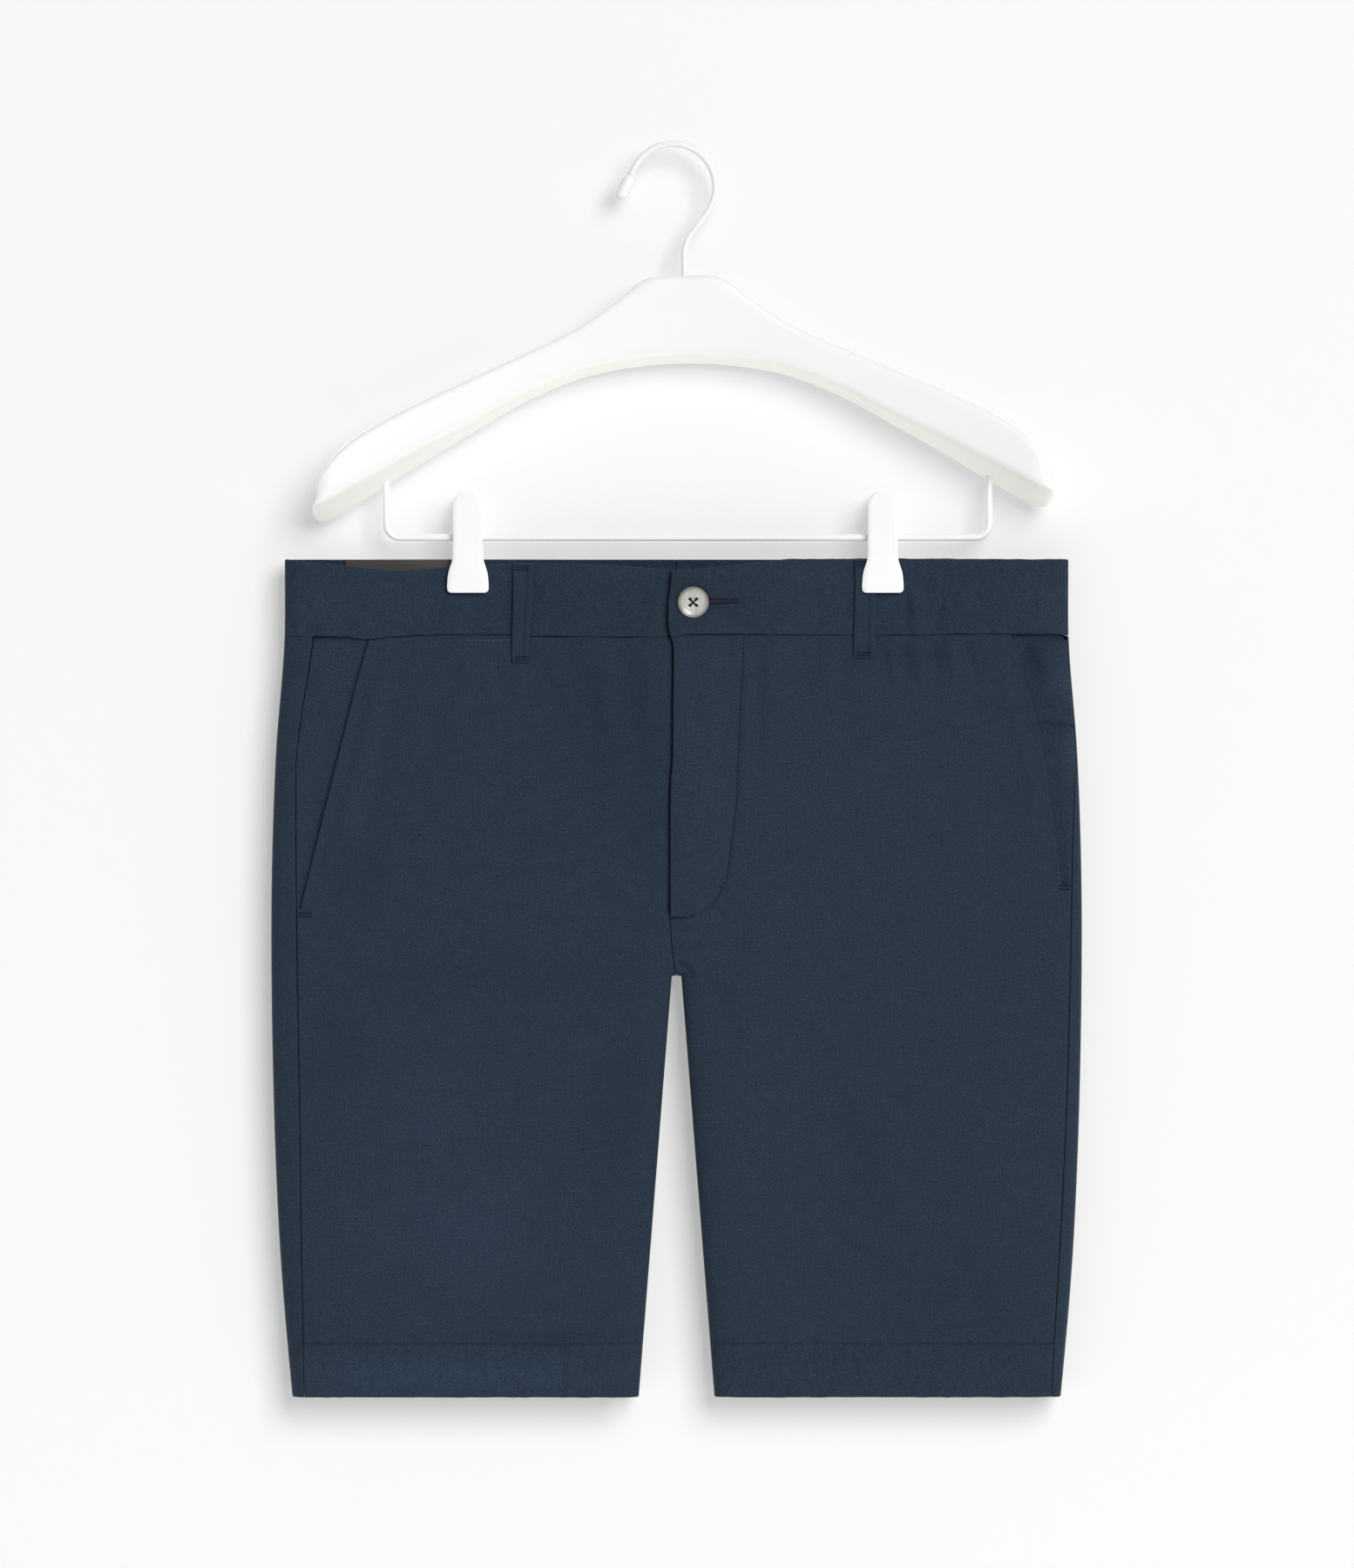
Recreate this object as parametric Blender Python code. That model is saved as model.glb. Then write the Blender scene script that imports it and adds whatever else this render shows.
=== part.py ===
"""Bermuda shorts clipped by the waistband to a wide white hanger.

Metres, +Z up. The origin is where a rail or peg carries the hanger's hook, on the inside of
the hook's crown. The front of the shorts faces -Y, so +X is the wearer's left.
"""

import math
from collections import namedtuple

import bmesh
import bpy
from mathutils import Vector

# ---------------------------------------------------------------- driving dimensions
CLOTH = 0.0012  # wall of one layer of cloth
BAND_CLOTH = 0.0020  # waistband: two layers and the stiffening between them
FACING_CLOTH = 0.0010
HEM_CLOTH = 0.0020  # the leg where its end is turned up
SEAM = 0.0003  # gap between pieces that are sewn together
HALF_SEAM = SEAM / 2

MIDDLE = 0.00225  # the shorts' centre line, a little to the side of the hook's crown
WAIST_Z = -0.2370
BAND_SEAM_Z = -0.2803
CROTCH_Z = -0.4755
HEM_Z = -0.7168
HEM_DEPTH = 0.0308
LEG_GAP_TOP = 0.0025  # half the gap between the legs, at the crotch and at the hem
LEG_GAP_HEM = 0.0215
FOLD_POWER = 2.5  # how squarely the cloth turns over at a folded edge

# How wide and deep the hung shorts are from the waist down. half_width reaches the folded
# side edge, half_depth is from the middle plane to the front or the back, and edge_run is
# how far from a folded edge the cloth takes to reach that depth.
Section = namedtuple("Section", "z half_width half_depth edge_run")
SECTIONS = (
    Section(-0.237, 0.2248, 0.0080, 0.018),
    Section(-0.285, 0.2251, 0.0090, 0.022),
    Section(-0.345, 0.2297, 0.0108, 0.028),
    Section(-0.405, 0.2320, 0.0118, 0.030),
    Section(-0.465, 0.2325, 0.0120, 0.030),
    Section(-0.545, 0.2312, 0.0118, 0.030),
    Section(-0.615, 0.2285, 0.0120, 0.030),
    Section(-0.665, 0.2251, 0.0126, 0.030),
    Section(-0.717, 0.2203, 0.0134, 0.030),
)

# How far in front of the folded side edge each side seam runs.
SideSeam = namedtuple("SideSeam", "z right left")
SIDE_SEAMS = (
    SideSeam(-0.281, 0.0165, 0.0008),
    SideSeam(-0.346, 0.0120, 0.0008),
    SideSeam(-0.384, 0.0130, 0.0038),
    SideSeam(-0.440, 0.0145, 0.0060),
    SideSeam(-0.565, 0.0145, 0.0075),
    SideSeam(-0.655, 0.0110, 0.0075),
    SideSeam(-0.717, 0.0066, 0.0055),
)

# The slanting pocket mouths, as distances from the centre line.
Mouth = namedtuple("Mouth", "z away")
POCKET_MOUTHS = {
    "right": (Mouth(-0.2800, 0.1765), Mouth(-0.3600, 0.1967), Mouth(-0.4375, 0.2157)),
    "left": (
        Mouth(-0.2800, 0.1915),
        Mouth(-0.3080, 0.2005),
        Mouth(-0.3300, 0.2068),
        Mouth(-0.3620, 0.2125),
        Mouth(-0.4230, 0.2205),
    ),
}
FACING_UNDER = 0.030  # how far a pocket facing reaches behind the mouth
FACING_SLACK = 0.0005  # between it and the front panel
FACING_END = 0.010  # and below it

# How far the front waistband's top edge sags below the back one's, along X from the centre.
Sag = namedtuple("Sag", "x drop")
FRONT_SAG = (
    Sag(-0.2250, 0.0000),
    Sag(-0.2150, 0.0012),
    Sag(-0.1810, 0.0046),
    Sag(-0.1575, 0.0064),
    Sag(-0.1310, 0.0047),
    Sag(-0.1000, 0.0023),
    Sag(-0.0445, 0.0033),
    Sag(0.0000, 0.0059),
    Sag(0.0320, 0.0035),
    Sag(0.0670, 0.0000),
    Sag(0.2250, 0.0000),
)

FLY_EDGE = -0.0023  # the lapped edge of the fly, from the centre line
FLY_END_Z = -0.4420
UNDERLAP = 0.0380  # waistband end under the lap
SHIELD_WIDTH = 0.0350
SHIELD_END_Z = -0.4300
BAND_RAISE = BAND_CLOTH + SEAM  # the lapped side stands on the side below it
FLY_RAISE = CLOTH + SEAM
RAISE_FLAT = 0.0400
RAISE_RUN = 0.0450
RAISE_START = 0.0140  # below the fly's end
RAISE_FADE = 0.0220

LOOP_WIDTH = 0.0115
LOOP_END_Z = -0.2963
LOOP_EASE = 0.0013  # slack between a belt loop and the band
Loop = namedtuple("Loop", "name x face ease")
BELT_LOOPS = (
    Loop("belt_loop_front_right", -0.0880, -1, LOOP_EASE),
    Loop("belt_loop_front_left", 0.1080, -1, 0.0002),
    Loop("belt_loop_back_right", -0.1620, 1, LOOP_EASE),
    Loop("belt_loop_back_left", 0.1620, 1, LOOP_EASE),
    Loop("belt_loop_back_centre", 0.0000, 1, LOOP_EASE),
)

PATCH_X = (-0.1900, -0.1105)
PATCH_HEIGHT = 0.0320
PATCH_CLOTH = 0.0010

BUTTON_X, BUTTON_Z = 0.0096, -0.2609
BUTTON_R, BUTTON_THICK = 0.0090, 0.0032
BUTTON_HOLE_R, BUTTON_HOLE_OUT = 0.0009, 0.0017

CLIPS = {"right": -0.1174, "left": 0.1205}  # along the bar
CLIP_HALF_GRIP = 0.0028  # half the thickness of the waistbands where a clip holds them
CLIP_FLAT = 0.0150
CLIP_RUN = 0.0550
CLIP_TOP_Z = -0.1980
CLIP_REACH = 0.0578
JAW_FACE = 0.0049  # the jaw plate's inner face, from the middle plane
JAW_THICK = 0.0022
LIP = 0.0018  # the grip pad that stands out of the jaw towards the cloth
LIP_TOP_Z, LIP_END_Z = -0.2400, -0.2545
Jaw = namedtuple("Jaw", "down width lean")
JAW_ROWS = (
    Jaw(0.0000, 0.0075, 0.0036),
    Jaw(0.0008, 0.0115, 0.0035),
    Jaw(0.0025, 0.0145, 0.0033),
    Jaw(0.0060, 0.0166, 0.0029),
    Jaw(0.0160, 0.0172, 0.0018),
    Jaw(0.0300, 0.0172, 0.0004),
    Jaw(0.0370, 0.0174, 0.0000),
    Jaw(0.0405, 0.0188, 0.0000),
    Jaw(0.0432, 0.0206, 0.0000),
    Jaw(0.0470, 0.0226, 0.0000),
    Jaw(0.0520, 0.0236, 0.0000),
    Jaw(0.0555, 0.0237, 0.0000),
    Jaw(0.0570, 0.0226, 0.0000),
    Jaw(0.0578, 0.0196, 0.0000),
)
SLEEVE_R, SLEEVE_LENGTH = 0.0046, 0.0150

WIRE_R = 0.0020
HOOK_R = 0.0245  # centre line of the hook's round part
STEM_X = 0.0067
STEM_BEND_R = 0.0200
HOOK_LEAN = math.radians(36)  # slope of the run between the crown and the stem
HOOK_TAIL = math.radians(154)  # where the free end leaves the round part
TAIL_WIRE = 0.0047
TIP_LENGTH, TIP_R = 0.0155, 0.0040

BAR_Z = -0.2240
BAR_BEND_R = 0.0075
BAR_X = (-0.1642, 0.1815)
SOCKET_TOP_Z = -0.1720
SOCKET_SLACK = 0.0003
STEM_END_Z = -0.0880

# The wooden hanger, by distance from its stem: its top edge, the front edge of its sloping
# underside, and its lowest edge, at the back.
Shoulder = namedtuple("Shoulder", "out top ridge low")
SHOULDERS = (
    Shoulder(0.0000, -0.0740, -0.1192, -0.1250),
    Shoulder(0.0180, -0.0742, -0.1199, -0.1257),
    Shoulder(0.0250, -0.0772, -0.1206, -0.1264),
    Shoulder(0.0420, -0.0900, -0.1229, -0.1288),
    Shoulder(0.0610, -0.1028, -0.1272, -0.1332),
    Shoulder(0.0920, -0.1174, -0.1398, -0.1462),
    Shoulder(0.1230, -0.1311, -0.1565, -0.1640),
    Shoulder(0.1500, -0.1432, -0.1697, -0.1800),
    Shoulder(0.1720, -0.1540, -0.1816, -0.1940),
    Shoulder(0.1890, -0.1640, -0.1906, -0.2045),
    Shoulder(0.2010, -0.1752, -0.1974, -0.2112),
    Shoulder(0.2085, -0.1868, -0.2006, -0.2120),
    Shoulder(0.2120, -0.1968, -0.2026, -0.2078),
)
HANGER_X = 0.0058
HANGER_TILT = 0.020  # it hangs a little down on the wearer's right
HANGER_HALF_THICK = 0.0090
HANGER_FLARE = 0.0100  # the ends are that much thicker each way, and lean forward
HANGER_BOW = 0.0110
HANGER_END = 0.2120
TIP_ROUND = 0.0200

MATERIALS = {
    "navy_cloth": ((0.026, 0.041, 0.064), 0.85, 0.0),
    "inside_patch": ((0.075, 0.068, 0.070), 0.80, 0.0),
    "horn_button": ((0.60, 0.60, 0.56), 0.30, 0.0),
    "white_wood": ((0.90, 0.90, 0.88), 0.45, 0.0),
    "white_wire": ((0.90, 0.90, 0.89), 0.35, 0.0),
    "white_clip": ((0.92, 0.92, 0.92), 0.40, 0.0),
}


# ---------------------------------------------------------------- the form of the cloth
def read(table, at, column, key="z"):
    """A column of a table at a place between its rows, on a smooth curve through them."""
    rows = sorted(table, key=lambda row: getattr(row, key))
    keys = [getattr(row, key) for row in rows]
    values = [getattr(row, column) for row in rows]
    at = min(max(at, keys[0]), keys[-1])
    last = len(rows) - 1
    i = max(k for k in range(last) if keys[k] <= at or k == 0)

    def slope(k):
        a, b = max(k - 1, 0), min(k + 1, last)
        return (values[b] - values[a]) / (keys[b] - keys[a])

    span = keys[i + 1] - keys[i]
    t = (at - keys[i]) / span
    return (
        (2 * t**3 - 3 * t**2 + 1) * values[i]
        + (t**3 - 2 * t**2 + t) * span * slope(i)
        + (3 * t**2 - 2 * t**3) * values[i + 1]
        + (t**3 - t**2) * span * slope(i + 1)
    )


def ease(t):
    """0 to 1, starting and ending gently."""
    t = min(max(t, 0.0), 1.0)
    return t * t * (3 - 2 * t)


def half_width(z):
    return read(SECTIONS, z, "half_width")


def leg_gap(z):
    """Half the gap between the legs; none above the crotch."""
    if z >= CROTCH_Z:
        return 0.0
    down = (CROTCH_Z - z) / (CROTCH_Z - HEM_Z)
    return LEG_GAP_TOP + (LEG_GAP_HEM - LEG_GAP_TOP) * down


def grip(x, z):
    """1 where a clip presses the waist flat, fading to 0 away from it."""
    away = min(abs(MIDDLE + x - at) for at in CLIPS.values())
    across = 1 - ease((away - CLIP_FLAT) / CLIP_RUN)
    below = 1 - ease((CLIP_TOP_Z - CLIP_REACH - z) / 0.050)
    return across * below


def turn(distance, run):
    """Share of the full depth at that distance from a folded edge."""
    left = 1 - min(max(distance / run, 0.0), 1.0)
    return (1 - left**FOLD_POWER) ** (1 / FOLD_POWER)


def depth(x, z):
    """From the middle plane to the outside of the cloth, x being from the centre line."""
    run = read(SECTIONS, z, "edge_run")
    full = read(SECTIONS, z, "half_depth")
    held = grip(x, z)
    full = full * (1 - held) + CLIP_HALF_GRIP * held
    to_side = half_width(z) - abs(x)
    if z >= CROTCH_Z:
        to_leg_gap = math.hypot(max(abs(x) - LEG_GAP_TOP, 0.0), z - CROTCH_Z)
    else:
        to_leg_gap = abs(x) - leg_gap(z)
    return full * turn(to_side, run) * turn(to_leg_gap, run)


def lap_raise(x, z, amount, end_z):
    """How far the lapped side of the fly stands forward, fading away from the lap."""
    return amount * (1 - ease((x - RAISE_FLAT) / RAISE_RUN)) * ease((z - end_z) / RAISE_FADE)


def skin(x, z, face, lift=None):
    """(point, outward direction) on the outside of the cloth; face is -1 front, 1 back,
    and lift, on the front only, is how far the cloth stands forward of the form."""
    step = 0.00005
    d = depth(x, z)
    if face == 1:
        lift = None
    raised = lift(x, z) if lift else 0.0
    slopes = []
    for dx, dz in ((step, 0.0), (0.0, step)):
        ahead, behind = depth(x + dx, z + dz), depth(x - dx, z - dz)
        slope = (ahead**2 - behind**2) / (2 * step)
        if lift:
            slope += d * (lift(x + dx, z + dz) - lift(x - dx, z - dz)) / step
        slopes.append(slope)
    out = Vector((-slopes[0], face * 2 * max(d, 1e-7), -slopes[1])).normalized()
    return Vector((MIDDLE + x, face * (d + raised), z)), out


# ---------------------------------------------------------------- making pieces
def material(name):
    found = bpy.data.materials.get(name)
    if found:
        return found
    colour, roughness, metallic = MATERIALS[name]
    made = bpy.data.materials.new(name)
    made.use_nodes = True
    shader = made.node_tree.nodes["Principled BSDF"]
    shader.inputs["Base Color"].default_value = (*colour, 1.0)
    shader.inputs["Roughness"].default_value = roughness
    shader.inputs["Metallic"].default_value = metallic
    made.diffuse_color = (*colour, 1.0)
    return made


def piece(name, bm, finish):
    """Turns a bmesh into a named, smooth-shaded object and frees it."""
    bmesh.ops.recalc_face_normals(bm, faces=bm.faces[:])
    mesh = bpy.data.meshes.new(name)
    bm.to_mesh(mesh)
    bm.free()
    mesh.shade_smooth()
    mesh.set_sharp_from_angle(angle=math.radians(40))
    mesh.materials.append(material(finish))
    made = bpy.data.objects.new(name, mesh)
    bpy.context.scene.collection.objects.link(made)
    return made


def grid(columns, rows):
    """A flat grid with its corners at (0, 0) and (1, 1)."""
    bm = bmesh.new()
    bmesh.ops.create_grid(bm, x_segments=columns, y_segments=rows, size=0.5)
    bmesh.ops.translate(bm, verts=bm.verts[:], vec=(0.5, 0.5, 0.0))
    return bm


def slab(name, columns, rows, place, finish):
    """A sheet with thickness: place(column, row, side) gives each point, side 0 outside."""
    bm = grid(columns, rows)
    grown = bmesh.ops.extrude_face_region(bm, geom=bm.faces[:])["geom"]
    inside = {v for v in grown if isinstance(v, bmesh.types.BMVert)}
    for v in bm.verts:
        column, row = round(v.co.x * columns), round(v.co.y * rows)
        v.co = place(column, row, 1 if v in inside else 0)
    return piece(name, bm, finish)


def cloth(name, columns, rows, spot, face_of, thick, under=0.0, lift=None, finish="navy_cloth"):
    """A piece of cloth on the shorts' form. spot(column, row) gives x and z on it, face_of
    the face there, and under is how far below the outside its own outside lies."""

    def place(column, row, side):
        x, z = spot(column, row)
        point, out = skin(x, z, face_of(column, row), lift)
        wall = thick(z) if callable(thick) else thick
        below = under(column, row) if callable(under) else under
        return point - out * (below + side * wall)

    return slab(name, columns, rows, place, finish)


def tube(name, points, radius, sides, finish):
    """Round wire along points, with flat closed ends."""
    curve = bpy.data.curves.new(name, "CURVE")
    curve.dimensions = "3D"
    curve.bevel_depth = radius
    curve.bevel_resolution = sides
    curve.use_fill_caps = True
    spline = curve.splines.new("POLY")
    spline.points.add(len(points) - 1)
    for spline_point, point in zip(spline.points, points):
        spline_point.co = (*point, 1.0)
    curve.materials.append(material(finish))
    made = bpy.data.objects.new(name, curve)
    bpy.context.scene.collection.objects.link(made)
    return made


def turned(name, profile, steps, finish):
    """A turned piece about Z: profile is (radius, height) points, closed into a ring."""
    bm = bmesh.new()
    corners = [bm.verts.new((radius, 0.0, height)) for radius, height in profile]
    on_axis = profile[0][0] == 0.0
    pairs = list(zip(corners, corners[1:]))
    if not on_axis:
        pairs.append((corners[-1], corners[0]))
    edges = [bm.edges.new(pair) for pair in pairs]
    bmesh.ops.spin(
        bm, geom=corners + edges, cent=(0, 0, 0), axis=(0, 0, 1),
        angle=2 * math.pi, steps=steps, use_merge=True,
    )
    bmesh.ops.remove_doubles(bm, verts=bm.verts[:], dist=1e-6)
    return piece(name, bm, finish)


def cut(target, cutter):
    """Cuts the cutter out of the target, and leaves the cutter as a hidden helper."""
    cutter.hide_render = True
    cutter.display_type = "WIRE"
    modifier = target.modifiers.new(cutter.name, "BOOLEAN")
    modifier.operation = "DIFFERENCE"
    modifier.object = cutter


def drill(name, target, place, length, radius, direction=(0, 0, 1), sides=12):
    """A round hole of that length, centred on place and running along direction."""
    bm = bmesh.new()
    bmesh.ops.create_cone(
        bm, cap_ends=True, segments=sides, radius1=radius, radius2=radius, depth=length
    )
    cutter = piece(name, bm, "white_wood")
    cutter.rotation_euler = Vector(direction).to_track_quat("Z", "Y").to_euler()
    cutter.location = place
    cut(target, cutter)


# ---------------------------------------------------------------- the leg panels
SIDES = {"right": -1, "left": 1}

# Heights of the panels' rows, closest at the end of the fly, the crotch and the hem's fold.
PANEL_Z = (
    BAND_SEAM_Z - HALF_SEAM, -0.308, -0.336, -0.366, -0.395, -0.4215, -0.4235, -0.4370, -0.4385,
    -0.4520, -0.4630, -0.4700, -0.4738, CROTCH_Z, -0.4760, -0.4850, -0.5100, -0.5500, -0.5950,
    -0.6400, HEM_Z + HEM_DEPTH + 0.0005, HEM_Z + HEM_DEPTH - 0.0005, HEM_Z,
)  # fmt: skip
FRONT_SHARES = (0, 0.006, 0.025, 0.07, 0.16, 0.30, 0.46, 0.62, 0.76, 0.85, 0.91, 0.96, 1)
BACK_SHARES = (0.012, 0.04, 0.10, 0.22, 0.38, 0.54, 0.70, 0.84, 0.93, 0.975, 0.994, 1)
WRAP_SHARES = (1, 0.45, 0.12, 0)
INSEAM_OFF = 0.00006  # from the folded inner edge to the seam, so that the walls stay apart


def seam_x(side, z):
    """Distance of a side seam from the centre line, on the front."""
    return half_width(z) - read(SIDE_SEAMS, z, side)


def front_edge_x(side, z):
    """Outer edge of a front panel: the pocket mouth, and below it the side seam."""
    mouth = POCKET_MOUTHS[side]
    if z > mouth[-1].z:
        return read(mouth, z, "away")
    return seam_x(side, z) - SEAM


def inner_edge_x(side, z, face):
    """Inner edge of a panel: the centre seam, and below the crotch the inseam."""
    if z < CROTCH_Z:
        return leg_gap(z) + INSEAM_OFF
    if face == 1:
        return HALF_SEAM
    return SIDES[side] * FLY_EDGE + HALF_SEAM


def wall(z):
    """Cloth is double where the hem is turned up."""
    return HEM_CLOTH if z < HEM_Z + HEM_DEPTH else CLOTH


def front_panel(side):
    sign = SIDES[side]
    lift = None
    if side == "left":
        lift = lambda x, z: lap_raise(x, z, FLY_RAISE, FLY_END_Z - RAISE_START)

    def spot(column, row):
        z = PANEL_Z[row]
        inner, outer = inner_edge_x(side, z, -1), front_edge_x(side, z)
        return sign * (inner + (outer - inner) * FRONT_SHARES[column]), z

    columns, rows = len(FRONT_SHARES) - 1, len(PANEL_Z) - 1
    return cloth(f"front_{side}", columns, rows, spot, lambda c, r: -1, wall, lift=lift)


def back_panel(side):
    """It wraps round the folded side edge to the seam on the front."""
    sign = SIDES[side]
    wrapped = len(WRAP_SHARES) - 1

    def spot(column, row):
        z = PANEL_Z[row]
        edge = half_width(z)
        if column <= wrapped:
            return sign * (edge - WRAP_SHARES[column] * read(SIDE_SEAMS, z, side)), z
        inner = inner_edge_x(side, z, 1)
        share = BACK_SHARES[len(BACK_SHARES) - 1 - (column - wrapped - 1)]
        if share == 1:
            share = 0.999
        if column == wrapped + len(BACK_SHARES):
            share = 0
        return sign * (inner + (edge - inner) * share), z

    def face_of(column, row):
        return -1 if column < wrapped else 1

    columns = wrapped + len(BACK_SHARES)
    return cloth(f"back_{side}", columns, len(PANEL_Z) - 1, spot, face_of, wall)


def pocket_facing(side):
    """The cloth that shows in a pocket's mouth, from the side seam to behind the front."""
    sign = SIDES[side]
    top, end = BAND_SEAM_Z - HALF_SEAM, POCKET_MOUTHS[side][-1].z - FACING_END
    columns, rows = 8, 10

    def spot(column, row):
        z = top + (end - top) * row / rows
        mouth = read(POCKET_MOUTHS[side], max(z, POCKET_MOUTHS[side][-1].z), "away")
        inner, outer = mouth - FACING_UNDER, seam_x(side, z) - SEAM
        return sign * (inner + (outer - inner) * column / columns), z

    return cloth(
        f"pocket_facing_{side}", columns, rows, spot, lambda c, r: -1, FACING_CLOTH,
        under=CLOTH + SEAM + FACING_SLACK,
    )


def fly_shield():
    """The underlap of the fly, behind the lapped edge."""
    top = BAND_SEAM_Z - HALF_SEAM
    columns, rows = 4, 8

    def spot(column, row):
        down = row / rows
        width = SHIELD_WIDTH * (1 - 0.45 * ease((down - 0.7) / 0.3))
        return FLY_EDGE + SEAM + width * column / columns, top + (SHIELD_END_Z - top) * down

    return cloth("fly_shield", columns, rows, spot, lambda c, r: -1, CLOTH)


# ---------------------------------------------------------------- waistband and what is on it
BAND_FRONT_SHARES = (
    0, 0.08, 0.16, 0.24, 0.33, 0.42, 0.48, 0.54, 0.60, 0.66, 0.74, 0.82, 0.89, 0.94, 0.97, 0.99, 0.998,
)  # fmt: skip


def waistband(side):
    """Half the waistband, from its front end round the side to the centre-back seam."""
    sign = SIDES[side]
    start = -UNDERLAP if side == "right" else FLY_EDGE
    edge = half_width(WAIST_Z)
    front = [start + (edge - start) * share for share in BAND_FRONT_SHARES]
    back = [HALF_SEAM + (edge - HALF_SEAM) * share for share in reversed(BAND_FRONT_SHARES)]
    path = [(x, -1) for x in front] + [(None, -1)] + [(x, 1) for x in back]
    heights = (0.0, 0.03, 0.35, 0.70, 1.0)
    lift = None
    if side == "left":
        lift = lambda x, z: lap_raise(x, z, BAND_RAISE, -1.0)

    def spot(column, row):
        x, face = path[column]
        bottom = BAND_SEAM_Z + HALF_SEAM
        top = WAIST_Z
        if x is not None and face == -1:
            top -= read(FRONT_SAG, sign * x, "drop", key="x")
        z = bottom + (top - bottom) * (1 - heights[row])
        if x is None:
            return sign * half_width(z), z
        return sign * min(x * half_width(z) / edge if x > 0.1 else x, half_width(z)), z

    def face_of(column, row):
        return path[column][1]

    return cloth(
        f"waistband_{side}", len(path) - 1, len(heights) - 1, spot, face_of, BAND_CLOTH, lift=lift
    )


def belt_loop(loop):
    columns, rows = 2, 10
    sag = read(FRONT_SAG, loop.x, "drop", key="x") if loop.face == -1 else 0.0
    top = WAIST_Z - sag - 0.0002

    def spot(column, row):
        return loop.x + LOOP_WIDTH * (column / columns - 0.5), top + (LOOP_END_Z - top) * row / rows

    def under(column, row):
        return -(SEAM + CLOTH + loop.ease * math.sin(math.pi * row / rows))

    return cloth(loop.name, columns, rows, spot, lambda c, r: loop.face, CLOTH, under=under)


def inside_patch():
    """A plain patch on the inside of the back waistband."""
    columns, rows = 6, 2
    top = WAIST_Z - 0.0003

    def spot(column, row):
        x = PATCH_X[0] + (PATCH_X[1] - PATCH_X[0]) * column / columns
        return x, top - PATCH_HEIGHT * row / rows

    return cloth(
        "inside_patch", columns, rows, spot, lambda c, r: 1, PATCH_CLOTH,
        under=BAND_CLOTH + SEAM, finish="inside_patch",
    )


def button():
    """Four-hole button with a raised rim and a dished middle, on the lapped waistband."""
    r, t = BUTTON_R, BUTTON_THICK
    profile = (
        (0.0, t * 0.72), (r * 0.55, t * 0.72), (r * 0.76, t * 0.82), (r * 0.86, t),
        (r * 0.94, t * 0.97), (r, t * 0.70), (r, t * 0.40), (r * 0.80, t * 0.10), (0.0, 0.0),
    )  # fmt: skip
    made = turned("button", profile, 28, "horn_button")
    on_band, out = skin(
        BUTTON_X, BUTTON_Z, -1, lambda x, z: lap_raise(x, z, BAND_RAISE, -1.0)
    )
    made.rotation_euler = out.to_track_quat("Z", "Y").to_euler()
    made.location = on_band + out * SEAM
    for i in range(4):
        angle = math.pi / 4 + i * math.pi / 2
        around = Vector((math.cos(angle), 0, math.sin(angle))) * BUTTON_HOLE_OUT * math.sqrt(2)
        place = made.location + around
        drill(f"button_drill_{i}", made, place, 4 * BUTTON_THICK, BUTTON_HOLE_R, out, 8)
    return made


# ---------------------------------------------------------------- the hanger
def hanger_body(name="hanger_body"):
    """A wide wooden hanger: flat front, sloping underside, ends thicker and bowed forward."""
    around = 16
    corner = 0.45  # how square the section is: 1 would be an ellipse
    last = len(SHOULDERS) - 1
    outs = [row.out for row in SHOULDERS]
    stations = [-out for out in reversed(outs[1:])] + outs

    bm = grid(around, len(stations) - 1)
    for v in bm.verts:
        x = stations[round(v.co.y * (len(stations) - 1))]
        angle = 2 * math.pi * v.co.x
        c, s = math.cos(angle), math.sin(angle)
        forward = math.copysign(abs(c) ** corner, c)  # 1 at the front
        up = math.copysign(abs(s) ** corner, s)
        row = SHOULDERS[min(range(last + 1), key=lambda k: abs(SHOULDERS[k].out - abs(x)))]
        share = (abs(x) / HANGER_END) ** 2
        tip = turn(HANGER_END + 0.0015 - abs(x), TIP_ROUND)
        half = (HANGER_HALF_THICK + HANGER_FLARE * share) * tip
        bottom = row.low + (row.ridge - row.low) * (forward + 1) / 2
        z = bottom + (row.top - bottom) * (up + 1) / 2
        y = -HANGER_BOW * share - half * forward
        v.co = (HANGER_X + x, y, z + HANGER_TILT * x)
    bmesh.ops.remove_doubles(bm, verts=bm.verts[:], dist=1e-6)
    bmesh.ops.holes_fill(bm, edges=bm.edges[:], sides=around + 2)
    made = piece(name, bm, "white_wood")
    for label, x in zip(("right", "left"), BAR_X):
        middle = (SOCKET_TOP_Z - 0.215) / 2
        length = SOCKET_TOP_Z + 0.215
        drill(f"socket_{label}", made, (x, 0, middle), length, WIRE_R + SOCKET_SLACK)
    stem_hole = abs(STEM_END_Z + 0.060)
    drill(
        "socket_stem", made, (STEM_X, 0, STEM_END_Z - SOCKET_SLACK + stem_hole / 2), stem_hole,
        WIRE_R + SOCKET_SLACK,
    )
    return made


def arc(centre, radius, start, end, count):
    """Points of an arc in the XZ plane, its ends included."""
    turns = [start + (end - start) * i / count for i in range(count + 1)]
    return [
        Vector((centre[0] + radius * math.cos(a), 0.0, centre[1] + radius * math.sin(a)))
        for a in turns
    ]


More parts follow.
